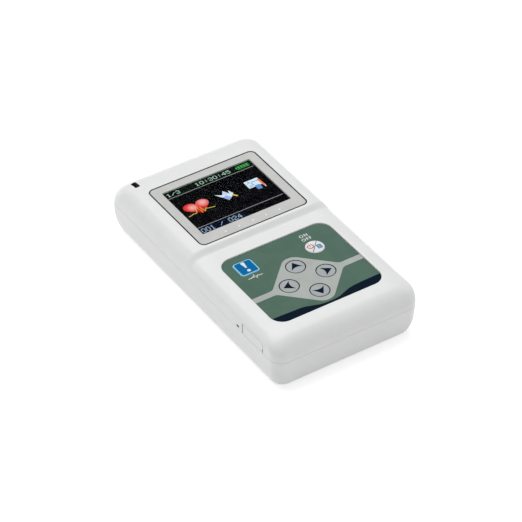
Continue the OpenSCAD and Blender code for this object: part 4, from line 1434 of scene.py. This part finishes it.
def cell(x, middle, heading):
    """A turned profile along Y; heading is the end with the nub."""
    profile = [(0, -24.75), (6.2, -24.75), (6.9, -24.55), (7.25, -24.1), (7.25, 24.1), (6.9, 24.6),
               (6.2, 24.75), (4.6, 24.75), (4.2, 24.4), (2.9, 24.4), (2.7, 24.8), (2.7, 25.5),
               (2.4, 25.75), (0, 25.75)]
    mesh = bmesh.new()
    line = [mesh.verts.new((x + r, middle + heading * y, CELL_Z)) for r, y in profile]
    edges = [mesh.edges.new(pair) for pair in zip(line, line[1:])]
    bmesh.ops.spin(mesh, geom=line + edges, cent=(x, 0, CELL_Z), axis=(0, 1, 0), angle=2 * pi,
                   steps=56, use_merge=True)
    return as_object(mesh)


for name, place in CELLS.items():
    finished(cell(*place), name + "_sleeved", "case", name, "cell_skin", sleeves[name])


# %% [markdown]
# ## Contact springs
# Each cell is pressed against its contact by a conical spring of steel wire. A real coil needs a
# round wire along a spiral, so a second Geometry Nodes tree sweeps a small circle along one.


# %% Contact springs
def coil_tree():
    graph, given = shape_tree("wire_coil", Turns="Float", Foot_Radius="Float",
                              Head_Radius="Float", Height="Float", Wire_Radius="Float",
                              Finish="Material")
    turns, foot_r, head_r, height, wire_r, finish = given
    spiral = graph.node("GeometryNodeCurveSpiral", Resolution=28, Rotations=turns,
                        Start_Radius=foot_r, End_Radius=head_r, Height=height)
    wire = graph.node("GeometryNodeCurvePrimitiveCircle", Resolution=8, Radius=wire_r)
    sweep = graph.node("GeometryNodeCurveToMesh", Curve=spiral, Profile_Curve=wire,
                       Fill_Caps=True)
    return ended(graph, sweep, finish)


COIL, WIRE_R = coil_tree(), 0.3
coils = bmesh.new()
for x, y, turned in ((-7.45, -57.2, -90), (7.45, -3.0, 90)):
    coil = grown(COIL, Turns=4.0, Foot_Radius=4.3, Head_Radius=2.6, Height=3.1,
                 Wire_Radius=WIRE_R, Finish=nickel.material)
    coil.data.transform(Matrix.Translation((x, y, CELL_Z)) @ Matrix.Rotation(radians(turned), 4, "X")
                        @ Matrix.Translation((0, 0, WIRE_R)))
    coils.from_mesh(coil.data)
    bpy.data.objects.remove(coil)
springs = as_object(coils)
finished(springs, "contact_spring_coils", "case", "contact_springs", "contact_nickel", nickel)

# %% [markdown]
# ## Lead socket contacts
# The lead socket has fifteen small holes. Each holds a gold-plated sleeve, which the copies tree
# places in three rows with the middle one shifted.

# %% Socket contacts
tube = Skin()
loops = [at(disc(r, 0, 0, 20), z) for r, z in ((0.47, 0), (0.47, 3.6), (0.3, 3.6), (0.3, 0.4))]
tube.walls(loops)
tube.layer(0.4, flat(loops[-1]))
tube.layer(0, flat(loops[0]))
sleeves = copies(tube, 5, 3, 2.29, 1.98, 1.145, finish=gold_plate)
sleeves.data.transform(Matrix.Translation((0, 58.3, SOCKET_Z)) @ Matrix.Rotation(radians(-90), 4, "X"))
finished(sleeves, "socket_contact_sleeves", "case", None, "contact_nickel", gold_plate)

# %% [markdown]
# ## Finishes on the CAD parts
# Boards, chips, screws and metalwork already have their right shape in the CAD model. They stay, and
# only get a finish in their material slots.

# %% Dress the CAD parts
WEAR = {bright_steel: ("port_cover_pin", "front_end_shield", "clock_cell", "usb_port",
                       "lead_connector", "board_screws", "shell_screws"),
        nickel: ("key_domes", "bridge_contact", "terminal_contacts", "jack_posts"),
        chip_epoxy: ("main_board_chips", "front_end_chips", "reset_switch", "beeper",
                     "board_link"),
        socket_plastic: ("lead_contacts",), solder_mask: ("main_board", "front_end_board"),
        amber_film: ("lcd_flex",), holder_plastic: ("lcd_holder",), label_film: ("back_label",),
        screen_black: ("lcd_panel",)}
for finish, names in WEAR.items():
    for name in names:
        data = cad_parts[name].data
        data.materials.clear()
        data.materials.append(finish.material)
print("dressed", sum(len(names) for names in WEAR.values()), "CAD parts")

# %% [markdown]
# ## Floor and light
# The picture was taken on white, with soft light from above and weaker light from the sides. The
# floor is a pale sheet. Its shader asks the Light Path whether the camera sees it, straight or by way
# of a gloss or a clear pane, and only then adds the light that lifts it to white. So the recorder's
# shadow stays, and no extra light reaches the recorder.

# %% Floor
FLOOR_SIZE, PAPER_GLOW = 3.0, 0.5
stage = bmesh.new()
bmesh.ops.create_grid(stage, x_segments=1, y_segments=1, size=FLOOR_SIZE / MM)
floor = as_object(stage)
floor.data.transform(Matrix.Scale(MM, 4) @ Matrix.Translation((0, 0, -0.02)))
floor.name = floor.data.name = "stage_floor"
paper = Finish("stage_paper", Base_Color=(0.86, 0.86, 0.86), Roughness=0.9)
path = paper.tree.nodes.new("ShaderNodeLightPath").outputs
seen = Value(paper, path["Is Camera Ray"])
for ray in ("Is Glossy Ray", "Is Transmission Ray"):
    seen = seen.math("MAXIMUM", Value(paper, path[ray]))
paper.set(Emission_Color=paper.blend(seen, (0, 0, 0), (1, 1, 1)), Emission_Strength=PAPER_GLOW)
floor.data.materials.append(paper.material)
print("the floor is", 2 * FLOOR_SIZE, "m wide")

# %% [markdown]
# ## Sky and lamps
# An even sky fills the shadows. One large area lamp overhead gives the bright top and the soft edge
# of the shadow, and three faint ones set how much darker the left side and the front are. Area lamps
# suit a glossy white shell, because they draw no hard spots on it.

# %% Sky and lamps
SKY, TARGET = 0.5, Vector((0, 0, 0.01))
world = bpy.data.worlds.new("studio")
bpy.context.scene.world = world
world.use_nodes = True
sky = world.node_tree
ground = sky.nodes["Background"]
ground.inputs["Color"].default_value = (1, 1, 1, 1)
ground.inputs["Strength"].default_value = SKY


def lamp_at(name, place, size, power):
    data = bpy.data.lights.new(name, "AREA")
    data.shape, data.size, data.size_y, data.energy = "RECTANGLE", *size, power
    made = placed(name, data)
    made.location = place
    aim = TARGET - Vector(place)
    made.rotation_euler = aim.to_track_quat("-Z", "Y").to_euler()


lamp_at("soft_top", (0.05, 0.45, 1.2), (1.3, 1.0), 8.9)
lamp_at("soft_left", (-1.2, 0.75, 0.5), (1.0, 0.8), 1.6)
lamp_at("soft_right", (1.3, 0.3, 0.5), (0.9, 0.7), 0.8)
lamp_at("soft_front", (0.8, -1.2, 0.3), (0.9, 0.5), 1.3)
bpy.context.scene.view_settings.view_transform = "Standard"
print("sky and", len(bpy.data.lights), "lamps")

# %% [markdown]
# ## Last update
# The view layer is brought up to date once more.

# %% Finish
bpy.context.view_layer.update()
